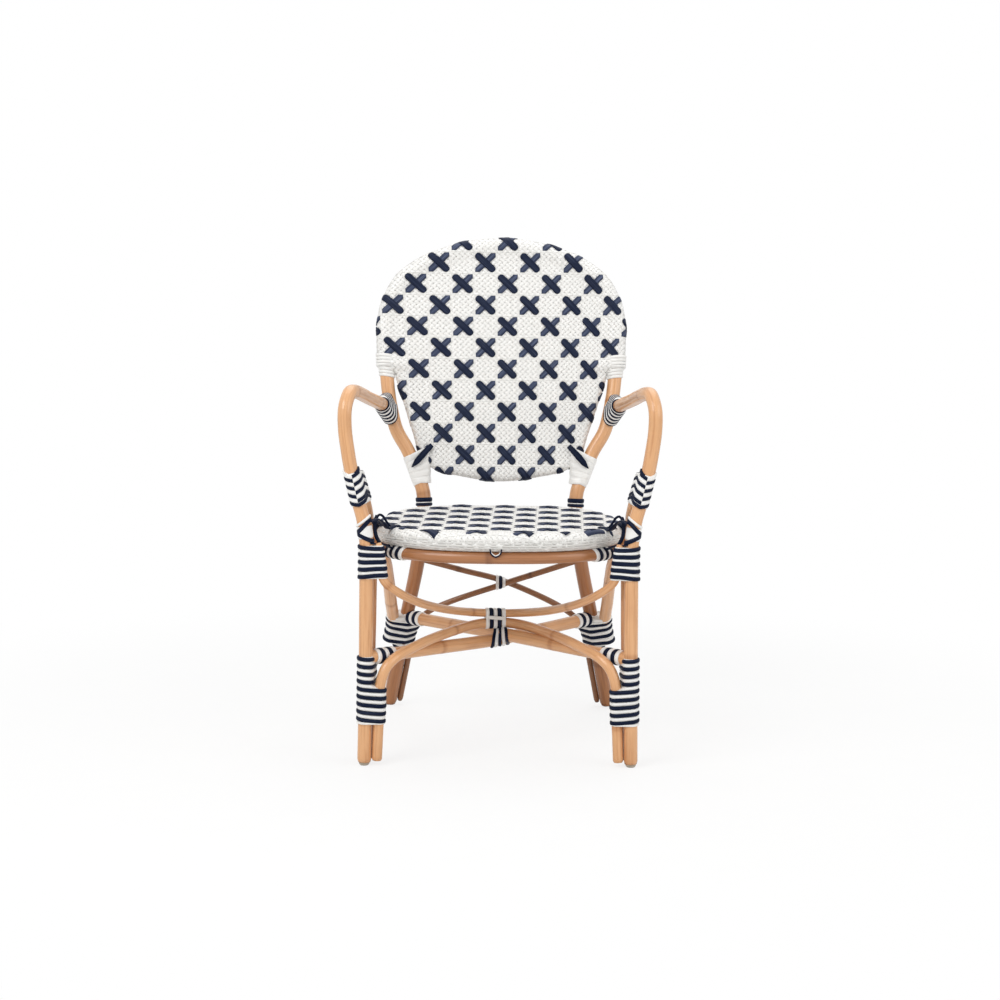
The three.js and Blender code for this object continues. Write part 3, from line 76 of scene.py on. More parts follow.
# Middle lines of the poles on the chair's right side, or the half of a pole that is alike on both.
HALF_ROUTES = {
    "back_arch_frame": [
        (229, 285.7, 0), (208.7, 243.9, 105.6), (187, 203.3, 215.6), (166.7, 173.8, 316.8),
        (155.5, 163.9, 400.4), (155.6, 167.3, 460.7), (168.8, 175.8, 499.6), (187, 185.5, 543.6),
        (211.7, 195, 586.6), (223.3, 204.5, 630.1), (229.9, 212.9, 667.9), (235.3, 226.5, 730.1),
        (236.5, 240.2, 792.2), (231.5, 249.3, 833.7), (219.9, 255.6, 862.2), (204.6, 261, 886.5),
        (182.1, 265.3, 906.2), (144.3, 270.1, 928), (94.6, 273.8, 945.1), (47.3, 276, 954.9),
        (0, 276.7, 958),
    ],
    "front_lower_arch": [
        (225.9, -267.3, 0), (223.6, -267.3, 53.9), (221.2, -267.3, 107.8), (219.1, -267.3, 154),
        (209.3, -262, 182.8), (192.8, -248.9, 199.4), (157.8, -201.8, 212.4), (112.8, -128.4, 220.6),
        (59.2, -44.6, 224.6), (28.5, -14.5, 225.7), (0, -5.3, 226.1),
    ],
    "front_upper_arch": [
        (225, -267.3, 418.5), (222, -267.3, 396.9), (218.9, -267.3, 374.6), (215.8, -267.3, 353),
        (205, -261.5, 337.6), (186.7, -247.4, 322.4), (151.7, -199.2, 296.8), (98.8, -107.5, 267.9),
        (49.4, -31.5, 250.1), (24.8, -11.8, 245.8), (0, -5.3, 244.1),
    ],
    "front_rail": at_level(SEAT_PLAN[4::-1], FRONT_RAIL_LEVEL),
    "rear_rail": [RAIL_END, *at_level(SEAT_PLAN[10:], RAIL_LEVEL)],
}
SIDE_ROUTES = {
    "front_leg_arm": [
        (249, -267.3, 0), (248, -267.3, 79.2), (246.9, -267.3, 202.4), (246.1, -267.3, 352),
        (246, -267.3, 413.6), (251.7, -267.3, 460.3), (259.8, -267.3, 490.8), (268.3, -267.3, 526.4),
        (276, -267.3, 559.4), (281.6, -267.3, 592.4), (286.5, -267.3, 630.5), (286.5, -267.3, 668.6),
        (280.2, -243.7, 694), (273.8, -206, 695.3), (268.1, -154.1, 688.8), (256.1, -22.1, 668),
        (239.6, 110, 646.6), (225, 204.3, 629.1),
    ],
    "side_rail": [
        (243, -243.7, 0), (242, -243.7, 78.9), (240.9, -243.7, 197.4), (239.6, -240.8, 276.3),
        (238.8, -238.8, 343.4), (238.1, -235.1, 368.6), (234.1, -215.9, 387.5), (227.5, -191.7, 394.3),
        *at_level(SEAT_PLAN[5:10], RAIL_LEVEL), RAIL_END,
    ],
    "side_brace": [
        (267.9, -242.6, 548), (261, -241.2, 525.1), (254.3, -235.7, 500.1), (249.9, -208.7, 472.3),
        (249.3, -170.5, 446.1), (249.3, -138.8, 423), (248.1, -116.7, 412.1), (238.1, -81.5, 385),
        (224.5, -33.5, 355), (220.3, 35.3, 309.3), (218.9, 121.3, 248.2), (218.3, 206.6, 185.2),
        (225.9, 220.7, 147.2),
    ],
    "seat_slat": [(85.3, -281.3, 424.7), (85.3, -76.8, 424.7), (85.3, 127.7, 424.7)],
}
WHOLE_ROUTES = {
    "cross_stretcher_a": [
        (-246, -267.3, 203), (-123, -133, 197.3), (0, 1.2, 191.5), (95.1, 105, 195.5), (190.2, 208.8, 199.5),
    ],
    "cross_stretcher_b": [
        (246, -267.3, 203), (123, -133, 203.3), (0, 1.2, 203.5), (-95.1, 105, 201.5), (-190.2, 208.8, 199.5),
    ],
    "rear_rod_a": [
        (-208.7, 291.7, 0), (-188.5, 250, 104), (-176.1, 226.1, 170.6), (-147.5, 211.2, 208),
        (15, 191.1, 273.6), (90.2, 181.7, 299.8), (165.5, 172.3, 326.1),
    ],
    "rear_rod_b": [
        (208.7, 291.7, 0), (188.5, 250, 104), (176.1, 226.1, 170.6), (147.5, 211.2, 208),
        (15, 203.4, 273.6), (-75.2, 187.8, 299.8), (-165.5, 172.3, 326.1),
    ],
}
# Closed hoops, from the middle of one end round the right side to the middle of the other.
HOOP_ROUTES = {
    "seat_hoop": at_level(SEAT_PLAN, SEAT_LEVEL),
    "back_hoop": [
        (0, 175.3, 497), (85.7, 177.7, 508), (128.5, 180.1, 518.9), (149.9, 183.9, 536.5),
        (167.1, 194.6, 584.7), (188.5, 209, 650.5), (204.6, 220.6, 703.2), (214.2, 239.9, 790.9),
        (211, 250.5, 839.2), (198.1, 258.3, 874.3), (179.9, 263.1, 896.2), (139.2, 267.4, 916),
        (90, 270.3, 929.1), (0, 271.8, 935.7),
    ],
}
POLE_RADII = {
    "back_arch_frame": 14,
    "front_leg_arm": 13,
    "front_lower_arch": 9.75,
    "front_upper_arch": 8,
    "front_rail": 11.5,
    "rear_rail": 11,
    "side_rail": 11,
    "side_brace": 12,
    "seat_slat": 7,
    "cross_stretcher_a": 12.5,
    "cross_stretcher_b": 12.5,
    "rear_rod_a": 6,
    "rear_rod_b": 6,
    "seat_hoop": 13,
    "back_hoop": 8,
}
# Poles painted browner and darker below the first height, fading out up to the second: partly the cane's own browner
# tone, partly painted shade under the seat.
SHADED_BROWN_BELOW = {"front_rail": (900, 1000), "back_arch_frame": (380, 500), "side_rail": (200, 420)}
# These poles take the rear finish, painted darker as shade: the rear rods and rail, and the slat and hoops hidden under
# the weave.
SHADED = ("rear_rail", "seat_slat", "rear_rod_a", "rear_rod_b", "seat_hoop", "back_hoop")
LONG_FOOT = 6.3  # poles on a glide are sawn off here
SHORT_FOOT = 9
FOOT_LEVELS = {
    "back_arch_frame": LONG_FOOT,
    "front_leg_arm": LONG_FOOT,
    "side_rail": SHORT_FOOT,
    "front_lower_arch": SHORT_FOOT,
    "rear_rod_a": SHORT_FOOT,
    "rear_rod_b": SHORT_FOOT,
}

# The back panel lies on one leaning plane, the seat on a level one. The back's rim is thicker above a height.
PANEL_FOOT = (0, 162.72, 440)
PANEL_LEAN = 0.22
SEAT_RIM = 17
BACK_RIM_UPPER = 18
BACK_RIM_LOWER = 12
BACK_RIM_CHANGE = 714.5
# The middle of one navy cross on each panel, and the size of a cell: across and up the panel.
BACK_CELLS = ((12.6, 275.0), (43.4, 44.1))
SEAT_CELLS = ((3.0, -226.5), (43.6, 42.0))


def linear(*levels):
    """A colour written as 0 to 255 levels, as the linear values that shaders take."""
    shares = [level / 255 for level in levels]
    return tuple(s / 12.92 if s <= 0.04045 else ((s + 0.055) / 1.055) ** 2.4 for s in shares)


def colour(name, description, *levels):
    return FloatVectorProperty(
        name=name, description=description, default=linear(*levels), subtype="COLOR", size=3, min=0, max=1
    )


def length(name, description, default):
    """A length in millimetres."""
    return FloatProperty(name=name, description=description, default=default, min=0, unit="NONE")


def share(name, description, default, top=1.0):
    return FloatProperty(name=name, description=description, default=default, min=0, max=top, subtype="FACTOR")


class ChairPoleSettings(PropertyGroup):
    """Sizes and colours of the rattan poles."""

    rattan: colour("Rattan", "Lacquered rattan in the light", 226, 172, 122)
    rattan_deep: colour("Deep Rattan", "Darker runs along the cane", 182, 120, 70)
    # Browner, darker cane below the seat: partly the cane's own tone, partly painted shade under the seat.
    shaded_brown: colour("Brown Rattan", "Browner cane of the rails and rear legs, with painted shade under the seat", 172, 114, 69)
    shaded_brown_deep: colour("Deep Brown Rattan", "Darker runs on the browner cane", 126, 76, 40)
    # The rear colours are painted shade: a darker copy of the rattan for the rear and hidden poles.
    shaded: colour("Rear Rattan", "Cane of the thin rods and hidden poles, painted darker as shade", 150, 100, 62)
    shaded_deep: colour("Deep Rear Rattan", "Darkest runs on the rear cane", 96, 58, 33)
    lacquer: share("Lacquer", "How strong the clear coat is", 0.55)
    node_spacing: length("Node Spacing", "Distance between the cane's nodes, mm", 290)
    node_swell: length("Node Swell", "How far a node stands out, mm", 0.35)


class ChairWeaveSettings(PropertyGroup):
    """Sizes and colours of the strands."""

    white: colour("White Strand", "White strands of seat, back and bindings", 241, 240, 237)
    # White Shade colours the real streaks, and also the painted shade on the body under the strands and on the rim
    # strands.
    white_shade: colour("White Shade", "Streaks in the white strands, and painted shade under and round them", 196, 193, 187)
    navy: colour("Navy Strand", "Navy strands and strips", 12, 22, 45)
    navy_pale: colour("Pale Navy", "Pale streaks in the navy strands", 108, 118, 146)
    strand_share: share("Strand Width", "Width of a plait strand over its pitch", 0.94)
    plait_rise: length("Plait Rise", "How far a strand rises over the next, mm", 0.75)
    cross_width: length("Cross Strand Width", "Width of a navy strand, mm", 12.2)
    cross_rise: length("Cross Rise", "How far the navy strands stand on the plait, mm", 1.3)
    strip_rise: length("Strip Rise", "Thickness of the strips wound round the poles, mm", 2.6)


class ChairStageSettings(PropertyGroup):
    """Floor, light and glides."""

    floor: colour("Floor", "Pale studio floor", 244, 244, 243)
    glide: colour("Glides", "Moulded foot glides", 178, 168, 152)
    key_power: FloatProperty(name="Key Light", description="Power of the main soft light", default=66, unit="POWER")
    fill_power: FloatProperty(name="Fill Light", description="Power of the filling light", default=30, unit="POWER")
    sky: share("Sky", "Strength of the even light from all round", 0.5, 2.0)
    focal_length: FloatProperty(
        name="Focal Length", description="Of the camera that matches the photograph", default=87.16, unit="CAMERA"
    )


def settings():
    scene = bpy.context.scene
    return scene.chair_poles, scene.chair_weave, scene.chair_stage


class Field:
    """A number that varies over a surface. Arithmetic on it adds Math nodes."""

    def __init__(self, nodes, socket):
        self.nodes = nodes
        self.socket = socket

    def math(self, operation, first, second, clamp=False):
        options = {"operation": operation, "use_clamp": clamp}
        return Field(self.nodes, self.nodes.add("ShaderNodeMath", options, {0: first, 1: second}).outputs[0])

    def __add__(self, other):
        return self.math("ADD", self, other)

    def __radd__(self, other):
        return self.math("ADD", other, self)

    def __sub__(self, other):
        return self.math("SUBTRACT", self, other)

    def __rsub__(self, other):
        return self.math("SUBTRACT", other, self)

    def __mul__(self, other):
        return self.math("MULTIPLY", self, other)

    def __rmul__(self, other):
        return self.math("MULTIPLY", other, self)

    def or_more(self, other):
        """The larger of the two."""
        return self.math("MAXIMUM", self, other)

    def held(self):
        """Kept between 0 and 1."""
        return self.math("ADD", self, 0.0, clamp=True)

    def ramp(self, low, high):
        """0 at low and below, 1 at high and above."""
        options = {"interpolation_type": "SMOOTHSTEP", "clamp": True}
        made = self.nodes.add("ShaderNodeMapRange", options, {"Value": self, "From Min": low, "From Max": high})
        return Field(self.nodes, made.outputs[0])


class Nodes:
    """The emptied node tree of a material or a world."""

    def __init__(self, owner):
        owner.use_nodes = True
        self.tree = owner.node_tree
        self.tree.nodes.clear()

    def add(self, kind, options=None, inputs=None):
        """A node of this type, its settings made first and its sockets filled or linked after."""
        made = self.tree.nodes.new(kind)
        for name, value in (options or {}).items():
            setattr(made, name, value)
        for name, value in (inputs or {}).items():
            self.fill(made.inputs[name], value)
        return made

    def fill(self, socket, value):
        if isinstance(value, Field):
            value = value.socket
        if isinstance(value, bpy.types.NodeSocket):
            self.tree.links.new(value, socket)
        elif socket.type == "RGBA" and len(value) == 3:
            socket.default_value = (*value, 1)
        else:
            socket.default_value = value

    def lay(self, *stretch):
        """Places along a strand or pole in metres, stretched by this much across, out and along."""
        place = self.add("ShaderNodeAttribute", {"attribute_name": "lay"}).outputs["Vector"]
        return self.add("ShaderNodeVectorMath", {"operation": "MULTIPLY"}, {0: place, 1: stretch}).outputs[0]

    def place(self):
        """Places on the object in metres."""
        return self.add("ShaderNodeTexCoord").outputs["Object"]

    def value(self, name):
        """A number kept on the mesh's points."""
        return Field(self, self.add("ShaderNodeAttribute", {"attribute_name": name}).outputs["Fac"])

    def noise(self, vector, scale=1.0, detail=4.0, roughness=0.55, distortion=0.0):
        inputs = {"Vector": vector, "Scale": scale, "Detail": detail, "Roughness": roughness, "Distortion": distortion}
        return Field(self, self.add("ShaderNodeTexNoise", {}, inputs).outputs["Fac"])

    def mixed(self, first, second, factor):
        """A colour between two: the Mix node's sixth and seventh sockets are its colours."""
        return self.add("ShaderNodeMix", {"data_type": "RGBA"}, {"Factor": factor, 6: first, 7: second}).outputs[2]

    def bump(self, height, strength, distance):
        inputs = {"Height": height, "Strength": strength, "Distance": distance}
        return self.add("ShaderNodeBump", {}, inputs).outputs[0]

    def blend(self, factor, first, second):
        """One shader fading into another."""
        inputs = {0: factor, 1: first.outputs[0], 2: second.outputs[0]}
        return self.add("ShaderNodeMixShader", {}, inputs).outputs[0]


class Finish(Nodes):
    """A material with one main shader."""

    def __init__(self, name):
        self.material = bpy.data.materials.new(name)
        super().__init__(self.material)
        self.shader = self.add("ShaderNodeBsdfPrincipled")
        self.output = self.add("ShaderNodeOutputMaterial", {}, {"Surface": self.shader.outputs[0]})

    def surface(self, **values):
        """Fills the shader's sockets: Base_Color stands for Base Color."""
        for name, value in values.items():
            self.fill(self.shader.inputs[name.replace("_", " ")], value)


def cane_finish(name, pale, deep, lacquer, browner_and_shaded=None):
    """Rattan cane: long streaks, pores, darker nodes and a clear lacquer."""
    finish = Finish(name)
    # Where tint is set the cane is painted browner and darker: partly its own tone, partly painted shade under the
    # seat.
    if browner_and_shaded:
        tint = finish.value("tint")
        pale, deep = finish.mixed(pale, browner_and_shaded[0], tint), finish.mixed(deep, browner_and_shaded[1], tint)
    streaks = finish.noise(finish.lay(260, 260, 7), detail=5, roughness=0.62, distortion=0.4)
    fibres = finish.noise(finish.lay(1500, 1500, 45), detail=3, roughness=0.5)
    patches = finish.noise(finish.lay(18, 18, 9), detail=2)
    knot = finish.value("knot")
    dark = streaks.ramp(0.42, 0.72) * 0.55 + patches.ramp(0.45, 0.8) * 0.35 + knot * 0.7
    pores = fibres.ramp(0.6, 0.82) * 0.35
    finish.surface(
        Base_Color=finish.mixed(finish.mixed(pale, deep, dark.held()), deep, pores),
        Roughness=0.3 + fibres * 0.22,
        Normal=finish.bump(streaks * 0.35 + fibres * 0.5 - knot * 0.6, 0.22, 0.0012),
        Coat_Weight=lacquer,
        Coat_Roughness=0.12,
        Specular_IOR_Level=0.45,
    )


def white_finish(name, white, shade):
    """White strand: a smooth skin with faint long streaks, painted darker as shade on the body under the strands and on
    the rim strands.
    """
    finish = Finish(name)
    streaks = finish.noise(finish.lay(900, 900, 22), roughness=0.6)
    cloud = finish.noise(finish.lay(60, 60, 30), detail=2)
    # The last part is painted shade, on the body under the strands and on the rim strands.
    dark = streaks.ramp(0.5, 0.78) * 0.3 + cloud.ramp(0.5, 0.8) * 0.25 + finish.value("hollow") * 0.6
    finish.surface(
        Base_Color=finish.mixed(white, shade, dark.held()),
        Roughness=0.36 + streaks * 0.16,
        Normal=finish.bump(streaks, 0.16, 0.0008),
        Coat_Weight=0.25,
        Coat_Roughness=0.18,
    )


def navy_finish(name, navy, pale):
    """Navy strand: dark skin with pale streaks where the dye is thin."""
    finish = Finish(name)
    streaks = finish.noise(finish.lay(620, 620, 16), detail=5, roughness=0.65, distortion=0.3)
    fine = finish.noise(finish.lay(2100, 2100, 60), detail=2)
    tint = finish.value("tint")
    pale_share = streaks.ramp(0.48, 0.78) * (0.2 + tint * 0.8) + tint * 0.42
    finish.surface(
        Base_Color=finish.mixed(navy, pale, pale_share.held()),
        Roughness=0.34 + streaks * 0.24,
        Normal=finish.bump(streaks + fine * 0.4, 0.2, 0.0008),
        Specular_IOR_Level=0.09,
    )


def glide_finish(name, tone):
    """Moulded plastic with a fine grain and scuffs."""
    finish = Finish(name)
    place = finish.place()
    grain = finish.noise(place, scale=1800, detail=2)
    scuffs = finish.noise(place, scale=160, roughness=0.7)
    darker = tuple(part * 0.6 for part in tone)
    finish.surface(
        Base_Color=finish.mixed(tone, darker, scuffs.ramp(0.5, 0.75) * 0.6),
        Roughness=0.42 + grain * 0.25,
        Normal=finish.bump(grain, 0.12, 0.0005),
        Specular_IOR_Level=0.4,
    )


def finishes():
    """Every material by name, made once."""
    poles, weave, stage = settings()
    browner_and_shaded = poles.shaded_brown[:], poles.shaded_brown_deep[:]
    makers = {
        "lacquered_rattan": (cane_finish, poles.rattan[:], poles.rattan_deep[:], poles.lacquer, browner_and_shaded),
        "rear_rattan": (cane_finish, poles.shaded[:], poles.shaded_deep[:], poles.lacquer * 0.7),
        "white_strand": (white_finish, weave.white[:], weave.white_shade[:]),
        "navy_strand": (navy_finish, weave.navy[:], weave.navy_pale[:]),
        "glide_plastic": (glide_finish, stage.glide[:]),
    }
    for name, (make, *values) in makers.items():
        if name not in bpy.data.materials:
            make(name, *values)
    return {name: bpy.data.materials[name] for name in makers}


def turn_outward(mesh):
    """Make every face look out of the closed part that it belongs to."""
    solid = bmesh.new()
    solid.from_mesh(mesh)
    bmesh.ops.recalc_face_normals(solid, faces=solid.faces)
    solid.to_mesh(mesh)
    solid.free()


class Skin:
    """Collects grids of points into one mesh, with the lay of its strands on the points."""

    VALUES = ("knot", "tint", "hollow")

    def __init__(self):
        self.points, self.lays, self.faces = [], [], []
        self.values = {name: [] for name in self.VALUES}
        self.count = 0

    def grid(self, places, lay, round_=False, looped=False, capped=False, **values):
        """Rows of points joined by quads: round_ closes each row, looped joins the last row to the first."""
        rows, across = places.shape[:2]
        index = np.arange(rows * across).reshape(rows, across) + self.count
        if looped:
            index = np.vstack([index, index[:1]])
        if round_:
            index = np.hstack([index, index[:, :1]])
        quads = np.stack([index[:-1, :-1], index[:-1, 1:], index[1:, 1:], index[1:, :-1]], axis=-1)
        self.faces.extend(quads.reshape(-1, 4).tolist())
        if capped:
            self.faces.append(index[0, :across][::-1].tolist())
            self.faces.append(index[-1, :across].tolist())
        self.points.append(places.reshape(-1, 3))
        self.lays.append(np.broadcast_to(lay, places.shape).reshape(-1, 3))
        for name, kept in self.values.items():
            kept.append(np.broadcast_to(values.get(name, 0.0), (rows, across)).reshape(-1))
        self.count += rows * across

    def piece(self, name, material, slot, nodes):
        """The mesh as an object that stands for these nodes."""
        mesh = bpy.data.meshes.new(name)
        mesh.from_pydata((np.concatenate(self.points) * MM).tolist(), [], self.faces)
        lay = (np.concatenate(self.lays) * MM).astype(np.float32)
        mesh.attributes.new("lay", "FLOAT_VECTOR", "POINT").data.foreach_set("vector", lay.ravel())
        for key, kept in self.values.items():
            values = np.concatenate(kept).astype(np.float32)
            if values.any():
                mesh.attributes.new(key, "FLOAT", "POINT").data.foreach_set("value", values)
        mesh.materials.append(finishes()[material])
        turn_outward(mesh)
        mesh.shade_smooth()
        made = bpy.data.objects.new(name, mesh)
        bpy.context.scene.collection.objects.link(made)
        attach(made, BODY)
        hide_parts(*nodes)


def unit(vectors):
    return vectors / np.linalg.norm(vectors, axis=-1, keepdims=True)


def run_of(line):
    """How far along a line each of its points is."""
    return np.concatenate([[0], np.cumsum(np.linalg.norm(np.diff(line, axis=0), axis=1))])


def ways_along(line, closed=False):
    """The way ahead at each point of a line."""
    return unit(np.roll(line, -1, axis=0) - np.roll(line, 1, axis=0) if closed else np.gradient(line, axis=0))


def lay_of(across, out, along):
    """Where on its strand each point is, from parts that broadcast together."""
    return np.stack(np.broadcast_arrays(across, out, along), axis=-1)


def smooth_line(points, closed=False, fineness=14):
    """A centripetal spline through the points, as a fine polyline."""
    points = np.asarray(points, float)
    if closed:
        before, after = points[-1:], points[:2]
    else:
        before, after = 2 * points[:1] - points[1:2], 2 * points[-1:] - points[-2:-1]
    row = np.vstack([before, points, after])
    t = np.linspace(0, 1, fineness, endpoint=False)[:, None]
    made = []
    for a, b, c, d in zip(row, row[1:], row[2:], row[3:]):
        first, middle, last = (math.sqrt(np.linalg.norm(q - p)) for p, q in ((a, b), (b, c), (c, d)))
        start = ((b - a) / first - (c - a) / (first + middle) + (c - b) / middle) * middle
        end = ((c - b) / middle - (d - b) / (middle + last) + (d - c) / last) * middle
        made.append(b + start * t + (3 * (c - b) - 2 * start - end) * t**2 + (2 * (b - c) + start + end) * t**3)
    if not closed:
        made.append(points[-1:])
    return np.vstack(made)


def evenly(line, step, closed=False):
    """The polyline again with points this far apart, and how far along each is."""
    if closed:
        line = np.vstack([line, line[:1]])
    run = run_of(line)
    at = np.linspace(0, run[-1], max(3, round(run[-1] / step)) + 1)
    if closed:
        at = at[:-1]
    return np.stack([np.interp(at, run, part) for part in line.T], axis=1), at


def sided(points, way):
    """Points written for the chair's right side, on this side."""
    return [(way * x, y, z) for x, y, z in points]


def pole_lines():
    """Every pole's fine middle line by its node's name."""
    made = {}
    for name, half in HALF_ROUTES.items():
        made[name] = smooth_line(sided(half, -1) + half[-2::-1])
    for name, points in SIDE_ROUTES.items():
        for side, way in SIDES:
            made[f"{name}_{side}"] = smooth_line(sided(points, way))
    for name, points in WHOLE_ROUTES.items():
        made[name] = smooth_line(points)
    for name, half in HOOP_ROUTES.items():
        made[name] = smooth_line(half + sided(half, -1)[-2:0:-1], closed=True)
    return made


LINES = pole_lines()


def kind_of(node):
    return node.removesuffix("_left").removesuffix("_right")


def pole(node):
    """A pole's line and its radius."""
    return LINES[node], POLE_RADII[kind_of(node)]


def frames_along(line, closed=False):
    """Directions across each point of a line that turn as little as they can."""
    tangents = ways_along(line, closed)
    across = [unit(np.cross(tangents[0], UP if abs(tangents[0][Z]) < 0.9 else (0.0, 1.0, 0.0)))]
    for tangent in tangents[1:]:
        across.append(unit(across[-1] - tangent * np.dot(across[-1], tangent)))
    across = np.array(across)
    return across, np.cross(tangents, across)


POLE_STEP = 6.0
POLE_SIDES = 20
END_ROUND = 1.6  # how far the sawn ends of the poles are eased
KNOT_LENGTH = 5.0
UNEVEN = ((61, 0.12), (23, 0.07))  # the pole's thickness wanders at these periods by these sizes


def sawn(line, foot):
    """The line cut off level at its foot."""
    if line[0, Z] < foot or line[-1, Z] < foot:
        line = line[line[:, Z] > foot - POLE_STEP]
    line = line.copy()
    for end, inner in ((0, 1), (-1, -2)):
        if line[end, Z] < foot + POLE_STEP:
            last = line[end] - line[inner]
            line[end] = line[inner] + last * (foot - line[inner, Z]) / last[Z]
    return line


def cane(skin, line, radius, seed, spacing, swell=0.0, closed=False, shaded_brown=None):
    """A round pole with a node every so often and slightly uneven thickness."""
    line, run = evenly(line, POLE_STEP, closed)
    across, up = frames_along(line, closed)
    turns = np.linspace(0, 2 * math.pi, POLE_SIDES, endpoint=False)
    rng = np.random.default_rng(seed)
    knots = np.arange(spacing * rng.uniform(0.3, 0.8), run[-1], spacing) + rng.uniform(-30, 30)
    near = np.abs(run[:, None] - knots).min(axis=1, initial=run[-1] + spacing)
    knot = np.exp(-((near / KNOT_LENGTH) ** 2))
    wander = sum(np.sin(run / period + rng.uniform(0, 2 * math.pi)) * size for period, size in UNEVEN)
    sizes = radius + wander + knot * swell
    if not closed:
        sizes[[0, -1]] -= END_ROUND
    circle = np.cos(turns)[:, None] * across[:, None] + np.sin(turns)[:, None] * up[:, None]
    places = line[:, None] + circle * sizes[:, None, None]
    lay = lay_of(
        np.cos(turns) * radius + seed * 17.3, np.sin(turns) * radius + seed * 5.1, run[:, None] + seed * 131.0
    )
    # tint paints the pole browner and darker below a height: partly the cane's own tone, partly painted shade under the
    # seat.
    tint = np.clip((shaded_brown[1] - line[:, Z:]) / (shaded_brown[1] - shaded_brown[0]), 0, 1) if shaded_brown else 0.0
    skin.grid(places, lay, round_=True, looped=closed, capped=not closed, knot=knot[:, None], tint=tint)


def place_on(line, axis, value, near=None):
    """Where a line passes this value of an axis, the passing nearest to a place if it does so often."""
    ahead = line[:, axis] - value
    at = np.nonzero(ahead[:-1] * ahead[1:] <= 0)[0]
    if not len(at):
        raise ValueError(f"the line does not pass {value} on axis {axis}")
    spots = []
    for i in at:
        rise = ahead[i] - ahead[i + 1]
        spots.append(line[i] + (line[i + 1] - line[i]) * (ahead[i] / rise if rise else 0))
    if near is None:
        return spots[0]
    return min(spots, key=lambda spot: np.linalg.norm(spot - near))


class Bundle:
    """Poles bound together: the outline round them at places along an axis.

    A pole is its line and its radius, or two radii towards facing and across it. A turn counts from facing.
    limits says between which distances along the axis a pole belongs to the bundle.
    """

    COUNT = 56
    SPACING = 4.0

    def __init__(self, poles, start, end, facing, limits=None):
        self.poles, self.limits = poles, limits or {}
        self.start, self.end = np.asarray(start, float), np.asarray(end, float)
        self.long = np.linalg.norm(self.end - self.start)
        self.axis = (self.end - self.start) / self.long
        facing = np.asarray(facing, float)
        self.facing = unit(facing - self.axis * np.dot(facing, self.axis))
        self.aside = np.cross(self.axis, self.facing)
        self.stations = max(2, round(self.long / self.SPACING) + 1)
        outlines = [self.outline(i / (self.stations - 1)) for i in range(self.stations)]
        self.rings = np.array([ring for ring, _ in outlines])
        self.normals = np.array([normals for _, normals in outlines])

    def sections(self, place, along):
        """Where each pole passes a place on the axis, as seen along it, and how thick the pole is."""
        for name, (line, radius) in self.poles.items():
            low, high = self.limits.get(name, (-math.inf, math.inf))
            ahead = (line - place) @ self.axis
            at = np.nonzero((ahead[:-1] > 0) != (ahead[1:] > 0))[0]
            if len(at) and low <= along <= high:
                spots = line[at] + (line[at + 1] - line[at]) * (ahead[at] / (ahead[at] - ahead[at + 1]))[:, None]
                spot = spots[np.linalg.norm(spots - place, axis=1).argmin()] - place
                yield (spot @ self.facing, spot @ self.aside), np.broadcast_to(radius, 2)

    def outline(self, portion):
        """The tight line round the poles this far along the axis, with the ways out from it."""
        place = self.start + (self.end - self.start) * portion
        centres, radii = map(np.array, zip(*self.sections(place, portion * self.long)))
        turns = np.linspace(-math.pi, math.pi, 241)
        ways = np.stack([np.cos(turns), np.sin(turns)], axis=1)
        reach = np.sqrt(ways**2 @ radii.T**2)
        owner = (ways @ centres.T + reach).argmax(axis=1)
        edge = centres[owner] + ways * radii[owner] ** 2 / reach[np.arange(len(ways)), owner][:, None]
        run = run_of(edge)
        first = np.interp(0.0, turns, run)
        at = (first + np.linspace(0, 1, self.COUNT, endpoint=False) * run[-1]) % run[-1]
        flat, facing = (np.stack([np.interp(at, run, part) for part in parts.T], axis=1) for parts in (edge, ways))
        basis = np.array([self.facing, self.aside])
        return place + flat @ basis, unit(facing @ basis)

    def at(self, along, turn):
        """Points on the outline and their outward directions, at millimetres along and turns round."""
        shares = np.clip(along / self.long, 0, 1)
        beyond = along - shares * self.long
        row = shares * (self.stations - 1)
        low = np.minimum(row.astype(int), self.stations - 2)
        column = (turn % 1.0) * self.COUNT
        left = column.astype(int) % self.COUNT
        right = (left + 1) % self.COUNT
        v = (row - low)[..., None]
        u = (column - column.astype(int))[..., None]

        def blend(table):
            lower = table[low, left] * (1 - u) + table[low, right] * u
            upper = table[low + 1, left] * (1 - u) + table[low + 1, right] * u
            return lower * (1 - v) + upper * v

        return blend(self.rings) + self.axis * beyond[..., None], unit(blend(self.normals))


# Across a strip as shares of its half width, and how far it stands out as shares of its thickness.
STRIP_SECTION = np.array(
    [(-1, -0.1), (-1, 0.4), (-0.82, 0.78), (-0.4, 0.96), (0.4, 0.96), (0.82, 0.78), (1, 0.4), (1, -0.1)]
)
STRAP_STEP = 2.5
SLEEVE_STEP = 3
STEP_SHARE = 0.17  # half of the part of a turn in which a spiral steps on to the next


def strip(skin, bundle, centre, width, rise, turns=1, first=0.0, seed=0):
    """A strip round a bundle: centre gives where its middle is along the axis at each turn. One turn is a ring."""
    closed = turns == 1
    count = round(turns * bundle.COUNT)
    t = np.linspace(0, turns, count + (0 if closed else 1), endpoint=not closed) + first
    across, out = (STRIP_SECTION * (width / 2, rise)).T
    along = centre(t)[:, None] + across
    points, normals = bundle.at(along, np.broadcast_to(t[:, None], along.shape))
    run = t[:, None] * run_of(bundle.rings[0])[-1]
    lay = lay_of(across + seed * 13.7, out, run + seed * 71.0)
    skin.grid(points + normals * out[:, None], lay, round_=True, looped=closed, capped=not closed)


